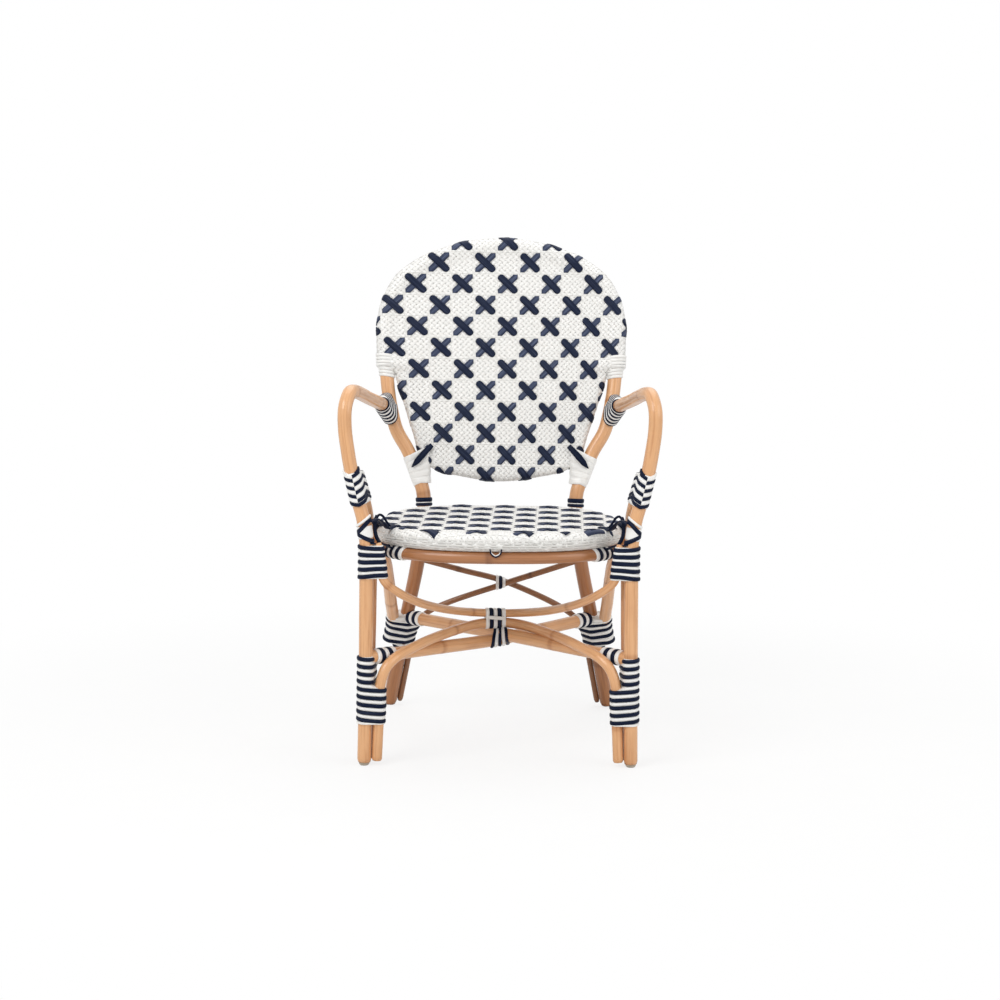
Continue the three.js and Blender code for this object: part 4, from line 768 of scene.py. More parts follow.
def strap(skin, points, widths, rise, facing, seed=0):
    """A flat strip along a line in space, as wide as widths say from end to end. facing points out of it."""
    line, run = evenly(smooth_line(points), STRAP_STEP)
    tangents = ways_along(line)
    aside = unit(np.cross(tangents, facing))
    half = np.interp(run / run[-1], np.linspace(0, 1, len(widths)), widths) / 2
    across = half[:, None] * STRIP_SECTION[:, 0]
    out = STRIP_SECTION[:, 1] * rise
    places = line[:, None] + aside[:, None] * across[..., None] + np.cross(aside, tangents)[:, None] * out[:, None]
    skin.grid(places, lay_of(across + seed * 13.7, out, run[:, None] + seed * 71.0), round_=True, capped=True)


def sleeve(skin, bundle, rise, low=0.0, high=None):
    """A thin lining under the strips, so that no pole shows between them."""
    high = bundle.long if high is None else high
    along = np.linspace(low, high, max(2, round((high - low) / SLEEVE_STEP)) + 1)
    turn = np.arange(bundle.COUNT) / bundle.COUNT
    points, normals = bundle.at(*np.meshgrid(along, turn, indexing="ij"))
    skin.grid(points + normals * rise, lay_of(along[:, None], 0.0, turn * 120.0), round_=True, capped=True)


def ring(middle, wave=None):
    """The middle of a ring, moved along the axis by wave at each turn."""
    return lambda turn: middle + (wave(turn) if wave else 0 * turn)


def slanted(size):
    """A wave that tips a ring towards its facing side."""
    return lambda turn: np.cos(turn * 2 * math.pi) * size


def tipped(size):
    """A wave that tips a ring sideways: furthest on a quarter turn from its facing side."""
    return lambda turn: np.sin(turn * 2 * math.pi) * size


def chevron(size):
    """A wave that zigzags: nothing in front and behind, all of it at both sides."""
    return lambda turn: (1 - np.abs(((turn * 2) % 1) * 2 - 1)) * size


def coil(low, high, count, tips):
    """The middle of a spiral that starts behind: level in front, it steps on behind.

    Its first turn is tipped sideways by tips[0], its last by tips[1].
    """
    pitch = (high - low) / (count - 1)

    def centre(turn):
        done = turn - 0.5
        steps = [np.clip((done - k) / (2 * STEP_SHARE) + 0.5, 0, 1) for k in range(1, count)]
        tip = tips[0] + (tips[1] - tips[0]) * done / count
        return low + pitch * sum(step**2 * (3 - 2 * step) for step in steps) + tipped(tip)(turn)

    return centre


RING_GAP = 0.35  # between rings that lie side by side
NAVY_PROUD = 1.12  # how much further a navy ring stands out than a white one beside it


class Wrap:
    """The navy and the white strips of one binding, as the two pieces that stand for its nodes."""

    def __init__(self, name, nodes, bundle):
        self.name, self.nodes, self.bundle = name, nodes, bundle
        self.skins = {"white": Skin(), "navy": Skin()}
        self.seed = sum(map(ord, name)) % 97

    def band(self, tone, centre, width, rise, **options):
        """A strip round the bundle."""
        self.seed += 1
        strip(self.skins[tone], self.bundle, centre, width, rise, seed=self.seed, **options)

    def strap(self, tone, points, widths, rise, facing):
        self.seed += 1
        strap(self.skins[tone], points, widths, rise, facing, seed=self.seed)

    def lining(self, rise, **options):
        sleeve(self.skins["white"], self.bundle, rise, **options)

    def spirals(self, table, way, rise):
        """Unbroken strips: their tone, first and last turn, number of turns, width, rise as a share, and tips."""
        for tone, low, high, count, width, portion, tips in table:
            centre = coil(low, high, count, [way * tip for tip in tips])
            self.band(tone, centre, width, rise * portion, turns=count, first=0.5)

    def rings(self, pattern, rise, wave=None):
        """Rings side by side along the axis: w is white and n is navy."""
        step = self.bundle.long / len(pattern)
        for i, letter in enumerate(pattern):
            tone, proud = ("navy", NAVY_PROUD) if letter == "n" else ("white", 1)
            self.band(tone, ring((i + 0.5) * step, wave), step - RING_GAP, rise * proud)

    def pieces(self):
        for tone, skin in self.skins.items():
            if skin.count:
                skin.piece(f"{self.name}_{tone}", f"{tone}_strand", f"{tone}_strip", self.nodes)


def bundle_on(names, axis, start, end, facing, near=None, limits=None, others=None):
    """Poles bound together between two values of an axis on the first of them, with other round forms beside them."""
    ends = (place_on(LINES[names[0]], axis, value, near) for value in (start, end))
    return Bundle({name: pole(name) for name in names} | (others or {}), *ends, facing, limits)


def collar(name, node, bundle, pattern, rise, wave=None):
    """A binding that is all rings."""
    wrap = Wrap(name, [node], bundle)
    wrap.rings(pattern, rise, wave)
    wrap.pieces()


WARP_MARGIN = 16.0  # the pattern is laid this far past the outline, as the warp moves it
SHELL_LEVELS = (0.04, 0.3, 0.5, 0.65, 0.75, 0.82, 0.87, 0.9, 0.925, 0.945, 0.96, 0.972, 0.982, 0.99, 0.996, 0.999, 1.0)
SHELL_SINK = 1.1
EDGE_BATCH = 20000


class Web:
    """A woven panel: a plane, its rim's outline, its height at each depth inside it, and the cells of its pattern."""

    def __init__(self, origin, across, rise, outline, front, back, warp, cells):
        self.origin = np.asarray(origin, float)
        self.across, self.rise = np.asarray(across, float), np.asarray(rise, float)
        self.normal = np.cross(self.across, self.rise)
        self.outline = outline
        self.warp = warp
        self.heights = {1: front, -1: back}
        self.middle, self.cell = cells
        self.stretch = self.cell[1] / self.cell[0]
        self.low, self.high = outline.min(axis=0) - WARP_MARGIN, outline.max(axis=0) + WARP_MARGIN
        ends = np.roll(outline, -1, axis=0)
        self.spans = ends - outline
        self.squares = (self.spans**2).sum(axis=1)
        if (outline[:, 0] * ends[:, 1] - ends[:, 0] * outline[:, 1]).sum() < 0:
            raise ValueError("the outline has to run anticlockwise")

    def cells_along(self, axis):
        """The numbers of the columns or rows that reach over the panel."""
        low, high = ((edge[axis] - self.middle[axis]) / self.cell[axis] for edge in (self.low, self.high))
        return range(math.floor(low) - 1, math.ceil(high) + 2)

    def edge(self, flat):
        """How far inside the outline each place is, and the way out from there."""
        places = flat.reshape(-1, 2)
        depth, ways = np.empty(len(places)), np.empty((len(places), 2))
        for first in range(0, len(places), EDGE_BATCH):
            batch = slice(first, first + EDGE_BATCH)
            gap = places[batch][:, None] - self.outline
            portion = np.clip((gap * self.spans).sum(-1) / self.squares, 0, 1)
            away = gap - self.spans * portion[..., None]
            square = (away**2).sum(-1)
            nearest = square.argmin(axis=1)
            rows = np.arange(len(nearest))
            away, span = away[rows, nearest], self.spans[nearest]
            inside = span[:, 0] * away[:, 1] - span[:, 1] * away[:, 0] > 0
            depth[batch] = np.sqrt(square[rows, nearest]) * np.where(inside, 1.0, -1.0)
            ways[batch] = unit(np.stack([span[:, 1], -span[:, 0]], axis=1))
        return depth.reshape(flat.shape[:-1]), ways.reshape(flat.shape)

    def place(self, flat, lift, side=1):
        """Points in space over flat places, standing this far off the panel's skin."""
        depth, ways = self.edge(flat)
        held = flat + ways * np.minimum(depth, 0.0)[..., None]
        height, slope = self.heights[side](np.maximum(depth, 0.0), flat)
        outward = ways[..., :1] * self.across + ways[..., 1:] * self.rise
        facing = self.normal * side
        normal = outward * slope[..., None] + facing * np.sqrt(1 - slope**2)[..., None]
        spots = self.origin + held[..., :1] * self.across + held[..., 1:] * self.rise
        return spots + facing * height[..., None] + normal * np.broadcast_to(lift, height.shape)[..., None], depth

    def shell(self, skin):
        """The closed body under the strands, painted darker as the shade between them."""
        centre = self.outline.mean(axis=0)
        front, back = (
            [self.place(centre + (self.outline - centre) * level, -SHELL_SINK, side)[0] for level in SHELL_LEVELS]
            for side in (1, -1)
        )
        places = np.array(front + back[-2::-1])
        skin.grid(places, places, round_=True, capped=True, hollow=0.8)

    def strand(self, skin, flat, aside, width, lift, side, section, seed, tint=0.0, inset=-0.2):
        """A strand along flat places, cut where it lies outside the panel. aside points across it.

        width and lift, which is its rise, are one number or one for each place.
        """
        section = np.asarray(section, float)
        spread = section[:, 0] * np.broadcast_to(width, len(flat))[:, None] / 2
        spots = self.warp(flat[:, None] + aside * spread[..., None])
        rise = np.broadcast_to(lift, len(flat))[:, None] + section[:, 1]
        places, depth = self.place(spots, rise, side)
        lay = lay_of(spread + seed * 9.7, section[:, 1], run_of(flat)[:, None] + seed * 37.0)
        keep = (depth > inset).any(axis=1)
        keep = keep | np.roll(keep, 1) | np.roll(keep, -1)
        cuts = np.flatnonzero(np.diff(np.concatenate([[0], keep.astype(int), [0]])))
        for first, last in zip(cuts[::2], cuts[1::2]):
            if last - first > 1:
                rows = slice(first, last)
                skin.grid(places[rows], lay[rows], round_=True, capped=True, tint=tint)


PLAIT_SECTION = ((-1, -0.75), (-0.55, 0), (0.55, 0), (1, -0.75))
CROSS_SECTION = (
    (-1, -1.6), (-0.94, -0.25), (-0.5, 0.1), (-0.08, -0.12), (0.08, -0.12), (0.5, 0.1), (0.94, -0.25), (1, -1.6),
)
LINE_SECTION = ((-1, -1.2), (-0.5, 0), (0.5, 0), (1, -1.2))
PLAITS_A_CELL = 4
LINE_WIDTH, LINE_LIFT, LINE_STEP = 2.3, 1.1, 4.5
RIM_LIFT = 0.35
CROSS_REACH = 0.9  # how much of its square a cross fills
CROSS_TIP = 0.5  # the last bit of a strand's end, left off, mm
TOP_WIDER = 1.18  # the upper strand of a cross over the lower one
TOP_SHORTER = 2.6  # how much sooner the upper strand ends, mm
TOP_HUMP, TOP_HUMP_LENGTH = 1.25, 9.5  # the upper strand's rise where it passes over the lower one, mm
TUCK, TUCK_LENGTH = 1.3, 1.6  # how far a strand's ends dip, mm, over this many half widths
CROSS_TINTS = {True: 0.1, False: 0.5}  # how pale the upper and the lower strand are


def plait(web, skin, weave, side, coarse=1):
    """White strands over the whole panel, slanting both ways and passing over and under each other."""
    pitch = web.cell[0] * coarse / PLAITS_A_CELL
    width = pitch / math.sqrt(2) * weave.strand_share
    wide, tall = web.high - web.low
    count = math.ceil((wide + tall / web.stretch) / pitch) + 2
    low, high = ((edge[0] - web.middle[0]) / pitch for edge in (web.low, web.high))
    x = np.arange(math.floor(low) * 4, math.ceil(high) * 4) * pitch / 4
    for way in (1, -1):
        aside = unit(np.array([-way * web.stretch, 1.0]))
        for k in range(-count, count + 1):
            y = way * (x - (k + 0.5) * pitch) * web.stretch
            flat = np.stack([x, y], axis=1) + web.middle
            fits = (flat[:, 1] > web.low[1] - pitch) & (flat[:, 1] < web.high[1] + pitch)
            if fits.sum() > 2:
                lift = -way * np.cos(2 * math.pi * x[fits] / pitch) * weave.plait_rise
                web.strand(skin, flat[fits], aside, width, lift, side, PLAIT_SECTION, k % 23 + 3 * way)


def grid_lines(web, skin, side):
    """Thin straps between the cells."""
    for axis, other in ((0, 1), (1, 0)):
        run = np.arange(web.low[other] - 5, web.high[other] + 5, LINE_STEP)
        for k in web.cells_along(axis):
            flat = np.empty((len(run), 2))
            flat[:, axis] = web.middle[axis] + (k + 0.5) * web.cell[axis]
            flat[:, other] = run
            web.strand(skin, flat, np.eye(2)[axis], LINE_WIDTH, LINE_LIFT, side, LINE_SECTION, k % 19)


def cross_run(reach, half, rounded):
    """Places along a cross strand, and its width at each: the ends are rounded or pointed."""
    end = np.linspace(-reach + CROSS_TIP, -reach + half, 6)
    along = np.concatenate([end, np.linspace(-reach + half, reach - half, 12)[1:-1], -end[::-1]])
    ending = np.clip((np.abs(along) - reach + half) / half, 0, 1)
    return along, 2 * half * (np.sqrt(1 - ending**2) if rounded else 1 - ending)


def crosses(web, skin, weave, side, outside, inset, hump=0.0):
    """A navy cross on every other cell: the strand from upper left lies on top.

    A cross whose middle is more than outside past the rim is left out, and strands are cut at inset inside it. hump
    raises a cross's middle and sinks its ends.
    """
    corner = web.cell[0] / 2 * CROSS_REACH * math.sqrt(2)
    section = np.array(CROSS_SECTION)
    middle = np.exp(-((section[:, 0] / 0.3) ** 2))
    for row in web.cells_along(1):
        for column in web.cells_along(0):
            centre = np.add(web.middle, np.multiply((column, row), web.cell))
            if (row + column) % 2 or web.edge(web.warp(centre)[None])[0][0] < -outside:
                continue
            for way, on_top in ((1, False), (-1, True)):
                half = weave.cross_width / 2 * (TOP_WIDER if on_top else 1.0)
                along, width = cross_run(corner - (TOP_SHORTER if on_top else 0.0), half, on_top)
                direction = unit(np.array([1.0, way * side * web.stretch]))
                aside = np.array([-direction[1], direction[0]])
                tucked = half * TUCK_LENGTH
                tuck = np.clip((np.abs(along) - corner + tucked) / tucked, 0, 1) ** 2
                lift = weave.cross_rise + 0.7 - tuck * TUCK + hump * (0.45 - (along / corner) ** 2)
                if on_top:
                    lift = lift + TOP_HUMP * np.exp(-((along / TOP_HUMP_LENGTH) ** 2))
                seed = (row * 7 + column * 13 + (3 if on_top else 0)) % 41
                tint = CROSS_TINTS[on_top] * (1 + middle)
                flat = centre + along[:, None] * direction
                web.strand(skin, flat, aside, width, lift, side, section, seed, tint, inset)


def rim_strands(web, skin, angles, radius, width):
    """Strands that run round the panel along its rim, at angles up from its outer edge."""
    ahead = ways_along(web.outline, closed=True)
    inward = np.stack([-ahead[:, 1], ahead[:, 0]], axis=1)
    across, out = np.array(PLAIT_SECTION).T * ((width / 2,), (1,))
    for i, angle in enumerate(angles):
        turns = math.radians(angle) + across / radius
        rows = [
            web.place(web.outline + inward * radius * (1 - math.cos(turn)), lift + RIM_LIFT, 1 if turn >= 0 else -1)[0]
            for turn, lift in zip(turns, out)
        ]
        lay = lay_of(across, out, run_of(web.outline)[:, None] + i * 53.0)
        # The rim strands are painted darker as shade.
        skin.grid(np.stack(rows, axis=1), lay, round_=True, looped=True, hollow=0.7)


OUTLINE_STEP = 5.0
BACK_HALF = 11  # half of the back panel's thickness inside its rim
RIM_CHANGE_LENGTH = 14  # the back's rim grows to its upper thickness over this height
RIM_FALL = 26  # the back's rim flattens into the panel over this distance
SEAT_THICK = 8  # how far the seat's underside lies under its level, inside the rim
# How a panel's pattern is drawn out of square.
BACK_NARROWING, BACK_DRIFT = 0.00027, 0.00022
SEAT_ROW_DRIFT, SEAT_ROW_SLANT = 0.024, 0.055


def offset_line(line, distance):
    """A flat line moved to its right by this much."""
    ways = ways_along(line)
    return line + np.stack([ways[:, 1], -ways[:, 0]], axis=1) * distance


def bulge(depth, rim):
    """A round rim's height at a depth inside its edge, and how much it faces outwards there."""
    cosine = np.clip(1 - depth / rim, 0, 1)
    return rim * np.sqrt(1 - cosine**2), cosine


def back_web():
    """The back panel, in its own leaning plane."""
    stretch = math.hypot(1, PANEL_LEAN)

    def right_side(name, low, high, distance):
        """The outer edge of the right half of a pole's route between two heights, from its foot up."""
        line = LINES[name]
        line = line[(line[:, X] >= -0.01) & (line[:, Z] >= low) & (line[:, Z] < high)]
        line = line[line[:, Z].argsort()]
        return offset_line(np.stack([line[:, X], (line[:, Z] - PANEL_FOOT[Z]) * stretch], axis=1), distance)

    lower = right_side("back_hoop", -math.inf, BACK_RIM_CHANGE - 9, BACK_RIM_LOWER)
    upper = right_side("back_arch_frame", BACK_RIM_CHANGE, math.inf, BACK_RIM_UPPER)
    right = np.vstack([lower, upper])
    right[[0, -1], 0] = 0.0
    outline, _ = evenly(np.vstack([right, (right * (-1, 1))[-2:0:-1]]), OUTLINE_STEP, closed=True)
    change = (BACK_RIM_CHANGE - PANEL_FOOT[Z]) * stretch

    def height(depth, flat):
        step = np.clip((flat[..., 1] - change + RIM_CHANGE_LENGTH) / RIM_CHANGE_LENGTH, 0, 1)
        rim = BACK_RIM_LOWER + (BACK_RIM_UPPER - BACK_RIM_LOWER) * step
        fall = np.clip((depth - rim) / RIM_FALL, 0, 1)
        round_part, cosine = bulge(depth, rim)
        return np.where(depth < rim, round_part, rim + (BACK_HALF - rim) * fall**2 * (3 - 2 * fall)), cosine

    def warp(flat):
        """The columns draw together towards the seat, more so on the right."""
        across, rise = np.moveaxis(flat - BACK_CELLS[0], -1, 0)
        return flat + np.stack([across * rise * BACK_NARROWING - across**2 * BACK_DRIFT, rise * 0], axis=-1)

    rise = np.array([0.0, PANEL_LEAN, 1.0]) / stretch
    return Web(PANEL_FOOT, (1, 0, 0), rise, outline, height, height, warp, BACK_CELLS)


def seat_web():
    """The woven seat, flat on top and open below between its rims."""
    hoop = LINES["seat_hoop"][:, :2]
    outline = offset_line(np.vstack([hoop[-3:], hoop, hoop[:3]]), SEAT_RIM)[3:-3]
    outline, _ = evenly(outline, OUTLINE_STEP, closed=True)

    def top(depth, flat):
        return bulge(depth, SEAT_RIM)

    def under(depth, flat):
        back_up = np.clip((depth - SEAT_RIM) / SEAT_RIM, 0, 1)
        inner = SEAT_RIM - (2 * SEAT_RIM - SEAT_THICK) * (1 - np.sqrt(1 - back_up**2))
        round_part, cosine = bulge(depth, SEAT_RIM)
        return np.where(depth < SEAT_RIM, round_part, inner), cosine

    def warp(flat):
        """The rows run a little askew, and each sits right of the one before it."""
        across, along = np.moveaxis(flat - SEAT_CELLS[0], -1, 0)
        return flat + np.stack([along * SEAT_ROW_DRIFT, across * -SEAT_ROW_SLANT], axis=-1)

    return Web((0, 0, SEAT_LEVEL), (1, 0, 0), (0, 1, 0), outline, top, under, warp, SEAT_CELLS)


class CHAIR_OT_poles(Operator):
    """Make the rattan poles and hoops"""

    bl_idname = "chair.poles"
    bl_label = "Poles"

    def execute(self, context):
        poles = context.scene.chair_poles
        for seed, node in enumerate(LINES, start=1):
            kind = kind_of(node)
            line, radius = pole(node)
            if kind in FOOT_LEVELS:
                line = sawn(line, FOOT_LEVELS[kind])
            skin = Skin()
            closed, shaded_brown = kind in HOOP_ROUTES, SHADED_BROWN_BELOW.get(kind)
            cane(skin, line, radius, seed, poles.node_spacing, poles.node_swell, closed, shaded_brown)
            # Poles in SHADED get the rear finish, a darker copy of the rattan painted as shade.
            look = ("rear_rattan", "shaded_rattan") if kind in SHADED else ("lacquered_rattan", "rattan")
            skin.piece(f"{node}_cane", *look, [node])
        return {"FINISHED"}


class CHAIR_OT_back_weave(Operator):
    """Plait the back panel and its navy crosses"""

    bl_idname = "chair.back_weave"
    bl_label = "Back Weave"

    def execute(self, context):
        weave = context.scene.chair_weave
        web = back_web()
        white, navy = Skin(), Skin()
        web.shell(white)
        for side in (1, -1):
            plait(web, white, weave, side)
            grid_lines(web, white, side)
            crosses(web, navy, weave, side, outside=20.0, inset=-0.2)
        rim_strands(web, white, (0, 16, -16), BACK_RIM_UPPER, width=4.6)
        white.piece("back_weave_plait", "white_strand", "woven_strands", ["back_weave"])
        navy.piece("back_weave_crosses", "navy_strand", "navy_strip", ["back_weave"])
        return {"FINISHED"}


class CHAIR_OT_seat_weave(Operator):
    """Plait the seat and its navy crosses"""

    bl_idname = "chair.seat_weave"
    bl_label = "Seat Weave"

    def execute(self, context):
        weave = context.scene.chair_weave
        web = seat_web()
        white, navy = Skin(), Skin()
        web.shell(white)
        plait(web, white, weave, 1)
        grid_lines(web, white, 1)
        crosses(web, navy, weave, 1, outside=0.0, inset=13.0, hump=2.0)
        plait(web, white, weave, -1, coarse=2)
        rim_strands(web, white, (18, 0, -18, -36, -54, -72), SEAT_RIM, width=5.2)
        white.piece("seat_weave_plait", "white_strand", "woven_strands", ["seat_weave"])
        navy.piece("seat_weave_crosses", "navy_strand", "navy_strip", ["seat_weave"])
        return {"FINISHED"}


# The spirals on each front leg, as Wrap.spirals takes them.
UPPER_SPIRALS = (("navy", 3.9, 57.4, 5, 7.8, 1.5, (2.1, -2.8)), ("white", 10.6, 50.7, 4, 4.8, 1.15, (1.5, -2.2)))
LOWER_SPIRALS = (("navy", 4.2, 118.6, 9, 7.6, 1.5, (1.3, 3.2)), ("white", 11.4, 111.4, 8, 5.8, 1.15, (1.5, 3.0)))


# Where the windings start and end along the leg, and how far down the lower arch joins the lower one.
UPPER_WINDING = (414.5, 353)
LOWER_WINDING = (206, 79)
ARCH_JOINS = 58
LINING = 0.5  # the lining's rise as a share of a strip's


class CHAIR_OT_leg_windings(Operator):
    """Wind the strips round the front legs"""

    bl_idname = "chair.leg_windings"
    bl_label = "Leg Windings"

    def execute(self, context):
        rise = context.scene.chair_weave.strip_rise
        for side, way in SIDES:
            leg = f"front_leg_arm_{side}"
            upper = self.wrap("upper", side, bundle_on([leg, "front_upper_arch"], Z, *UPPER_WINDING, FRONT))
            upper.lining(rise * LINING)
            upper.spirals(UPPER_SPIRALS, way, rise)
            upper.pieces()
            names = [leg, f"side_rail_{side}", "front_lower_arch"]
            limits = {"front_lower_arch": (ARCH_JOINS, math.inf)}
            bundle = bundle_on(names, Z, *LOWER_WINDING, FRONT, limits=limits)
            lower = self.wrap("lower", side, bundle)
            lower.lining(rise * LINING)
            lower.spirals(LOWER_SPIRALS, way, rise)
            lower.band("white", ring(124.4), 5.0, rise * 1.1)
            lower.pieces()
        return {"FINISHED"}

    def wrap(self, level, side, bundle):
        nodes = [f"front_leg_binding_{level}_{side}", f"front_leg_winding_{level}_{side}"]
        return Wrap(f"{level}_leg_winding_{side}", nodes, bundle)


# What starts at the left and at the right rear or front leg.
STRETCHERS = {"left": "cross_stretcher_a", "right": "cross_stretcher_b"}
RODS = {"left": "rear_rod_a", "right": "rear_rod_b"}
OPPOSITE = {"left": "right", "right": "left"}
# Where bindings start and end along their first pole on the chair's right, with a place near them where it
# passes there more than once.
STRETCHER_COLLARS = {"front": (233, 199), "rear": (188, 156)}
REAR_LEG_WINDING, REAR_LEG_PLACE, ROD_JOINS = (208, 132), (190, 210, 170), 22
RAIL_COLLAR, RAIL_SLANT = (206, 173), 3.5
ARM_END_START, ARM_END_PLACE = 118, (235, 150, 640)
POST_WINDING, POST_BASE, POST_PLACE = (479, 535), (452, 434), (165, 170, 480)
POST_CUFF, CUFF_PLACE, CUFF_RIM_END = (738, 692), (232, 220, 700), 24
# The white rings on a post, the first tipped most.
POST_RINGS, POST_RING_WIDTH, POST_TILT, POST_TILT_STEP = 5, 11.8, 5.5, -2.1
# Round forms beside the poles, on the chair's right: two ends of a line each.
ARM_CREST = ((239, 130, 650), (231, 222, 652))
ARM_FOOT = ((239, 130, 642), (224, 190, 611))
POST_CORNER = ((151, 170, 460), (152, 181, 560))
ARM_END = (222, 190, 606)
# The rings of the collar at a post's base: tone, middle along the post, width, rise as a share.
POST_BASE_RINGS = (("navy", 4.6, 8.8, 1.2), ("white", 10.2, 2.0, 1.0), ("navy", 14.4, 6.0, 1.2))
POST_STRAP = ((179, 161, 514), (172, 160, 522), (160, 162, 536), (149, 165, 548), (139, 171, 558))


class CHAIR_OT_collars(Operator):
    """Wind the collars on stretchers, rails, arms, posts and rear legs"""

    bl_idname = "chair.collars"
    bl_label = "Collars"

    def execute(self, context):
        rise = context.scene.chair_weave.strip_rise
        for side, way in SIDES:
            self.stretchers(side, way, rise)
            self.rear_leg(side, way, rise)
            self.rail_and_arm(side, way, rise)
            self.post(side, way, rise)
        return {"FINISHED"}

    def stretchers(self, side, way, rise):
        for end, start in (("front", side), ("rear", OPPOSITE[side])):
            bundle = bundle_on([STRETCHERS[start]], X, *(way * x for x in STRETCHER_COLLARS[end]), UP)
            name = f"stretcher_collar_{end}_{side}"
            collar(name, name, bundle, "wnwnw", rise)

    def rear_leg(self, side, way, rise):
        names = ["back_arch_frame", f"side_brace_{side}", RODS[side]]
        limits = {RODS[side]: (ROD_JOINS, math.inf)}
        bundle = bundle_on(names, Z, *REAR_LEG_WINDING, FRONT, *sided([REAR_LEG_PLACE], way), limits)
        wrap = Wrap(f"rear_leg_winding_{side}", [f"rear_leg_binding_{side}"], bundle)
        wrap.lining(rise * LINING)
        spirals = (
            ("navy", 15, bundle.long - 5, 5, 7.6, 1.4, (5, -1)),
            ("white", 22, bundle.long - 12, 4, 4.8, 1.1, (4, 0)),
        )
        wrap.spirals(spirals, way, rise)
        wrap.band("white", ring(7.5, tipped(way * 6.0)), 6.5, rise)
        wrap.pieces()

    def rail_and_arm(self, side, way, rise):
        bundle = bundle_on(["front_rail"], X, *(way * x for x in RAIL_COLLAR), UP)
        collar(f"front_rail_collar_{side}", f"front_rail_binding_{side}", bundle, "nwnwnw", rise, slanted(RAIL_SLANT))
        arm = pole(f"front_leg_arm_{side}")
        crest, foot = (np.array(sided(form, way), float) for form in (ARM_CREST, ARM_FOOT))
        joined = {"arm": arm, "crest": (crest, 10.0), "foot": (foot, 13.0)}
        start = place_on(arm[0], Y, ARM_END_START, *sided([ARM_END_PLACE], way))
        bundle = Bundle(joined, start, *sided([ARM_END], way), UP)
        collar(f"arm_end_winding_{side}", f"arm_end_binding_{side}", bundle, "nwnwnwnwnwn", rise)

    def post(self, side, way, rise):
        names = ["back_arch_frame"]
        post, cuff = sided([POST_PLACE, CUFF_PLACE], way)
        others = {"corner": (np.array(sided(POST_CORNER, way), float), 9.5)}
        bundle = bundle_on(names, Z, *POST_WINDING, FRONT, post, others=others)
        wrap = Wrap(f"post_winding_{side}", [f"post_binding_{side}"], bundle)
        wrap.lining(rise * LINING)
        for i in range(POST_RINGS):
            middle, tilt = (i + 0.5) * bundle.long / POST_RINGS, POST_TILT + POST_TILT_STEP * i
            wrap.band("white", ring(middle, tipped(way * tilt)), POST_RING_WIDTH, rise * 0.8)
        wrap.strap("navy", sided(POST_STRAP, way), (2.0, 12.0, 13.0, 12.0, 10.0), rise, FRONT)
        wrap.pieces()
        bundle = bundle_on(names, Z, *POST_BASE, FRONT, post)
        wrap = Wrap(f"post_base_collar_{side}", [f"post_base_binding_{side}"], bundle)
        for tone, middle, width, portion in POST_BASE_RINGS:
            wrap.band(tone, ring(middle), width, rise * portion)
        wrap.pieces()
        others = {"rim": (LINES["back_arch_frame"], BACK_RIM_UPPER + 0.6)}
        bundle = bundle_on(names, Z, *POST_CUFF, FRONT, cuff, {"rim": (-1, CUFF_RIM_END)}, others)
        collar(f"post_cuff_{side}", f"post_cuff_{side}", bundle, "wwwwwww", rise, tipped(way * 3.0))


ARM_BINDING, ARM_BINDING_PLACE = (487, 558), (265, -267, 520)
# The herringbone on the arms' bindings: rows this far apart, each of two half turns that rise to the sides.
HERRINGBONE_START = 4
HERRINGBONE_ROWS = 7
HERRINGBONE_PITCH = 7.65
HERRINGBONE_RISE = 12.0


class CHAIR_OT_arm_bindings(Operator):
    """Plait the crossed bindings where the braces meet the arms"""

    bl_idname = "chair.arm_bindings"
    bl_label = "Arm Bindings"

    def execute(self, context):
        rise = context.scene.chair_weave.strip_rise
        wave = chevron(HERRINGBONE_RISE)
        for side, way in SIDES:
            names = [f"front_leg_arm_{side}", f"side_brace_{side}"]
            bundle = bundle_on(names, Z, *ARM_BINDING, FRONT, *sided([ARM_BINDING_PLACE], way))
            wrap = Wrap(f"arm_binding_{side}", [f"arm_binding_{side}"], bundle)
            wrap.lining(rise * 0.7, low=3, high=64)
            wrap.band("navy", ring(HERRINGBONE_START, wave), 7.6, rise * 1.35)
            for row in range(1, HERRINGBONE_ROWS + 1):
                for first, inner in ((0.0, way < 0), (0.5, way > 0)):
                    tone = "navy" if (row % 2 == 1) == inner else "white"
                    centre = ring(HERRINGBONE_START + row * HERRINGBONE_PITCH, wave)
                    wrap.band(tone, centre, 7.5, rise * 1.3, turns=0.5, first=first)
            wrap.pieces()
        return {"FINISHED"}


ARCH_COLLAR = (-26.5, 13)
ARCH_STRAP = ((-27, -6, 238), (-23, -17, 238), (-14, -20.5, 238), (0, -20, 237), (9, -17.5, 236), (13, -6, 235))
CROSSING = (2.5, 1.0, 197.5)
CROSSING_HALF = 19.0
CROSSING_PITCH, CROSSING_TILT, CROSSING_WIDTH = 6.4, 1.7, 6.6
CROSSING_RADII = (17.2, 12.8)  # a stretcher's section where it slants through the lashing
ROD_CROSSING = (3.0, 197.5, 273.6)
ROD_COLLAR_HALF = 10.0


def across_chair(middle, half):
    """The two ends of an axis from left to right."""
    return np.add(middle, (-half, 0, 0)), np.add(middle, (half, 0, 0))


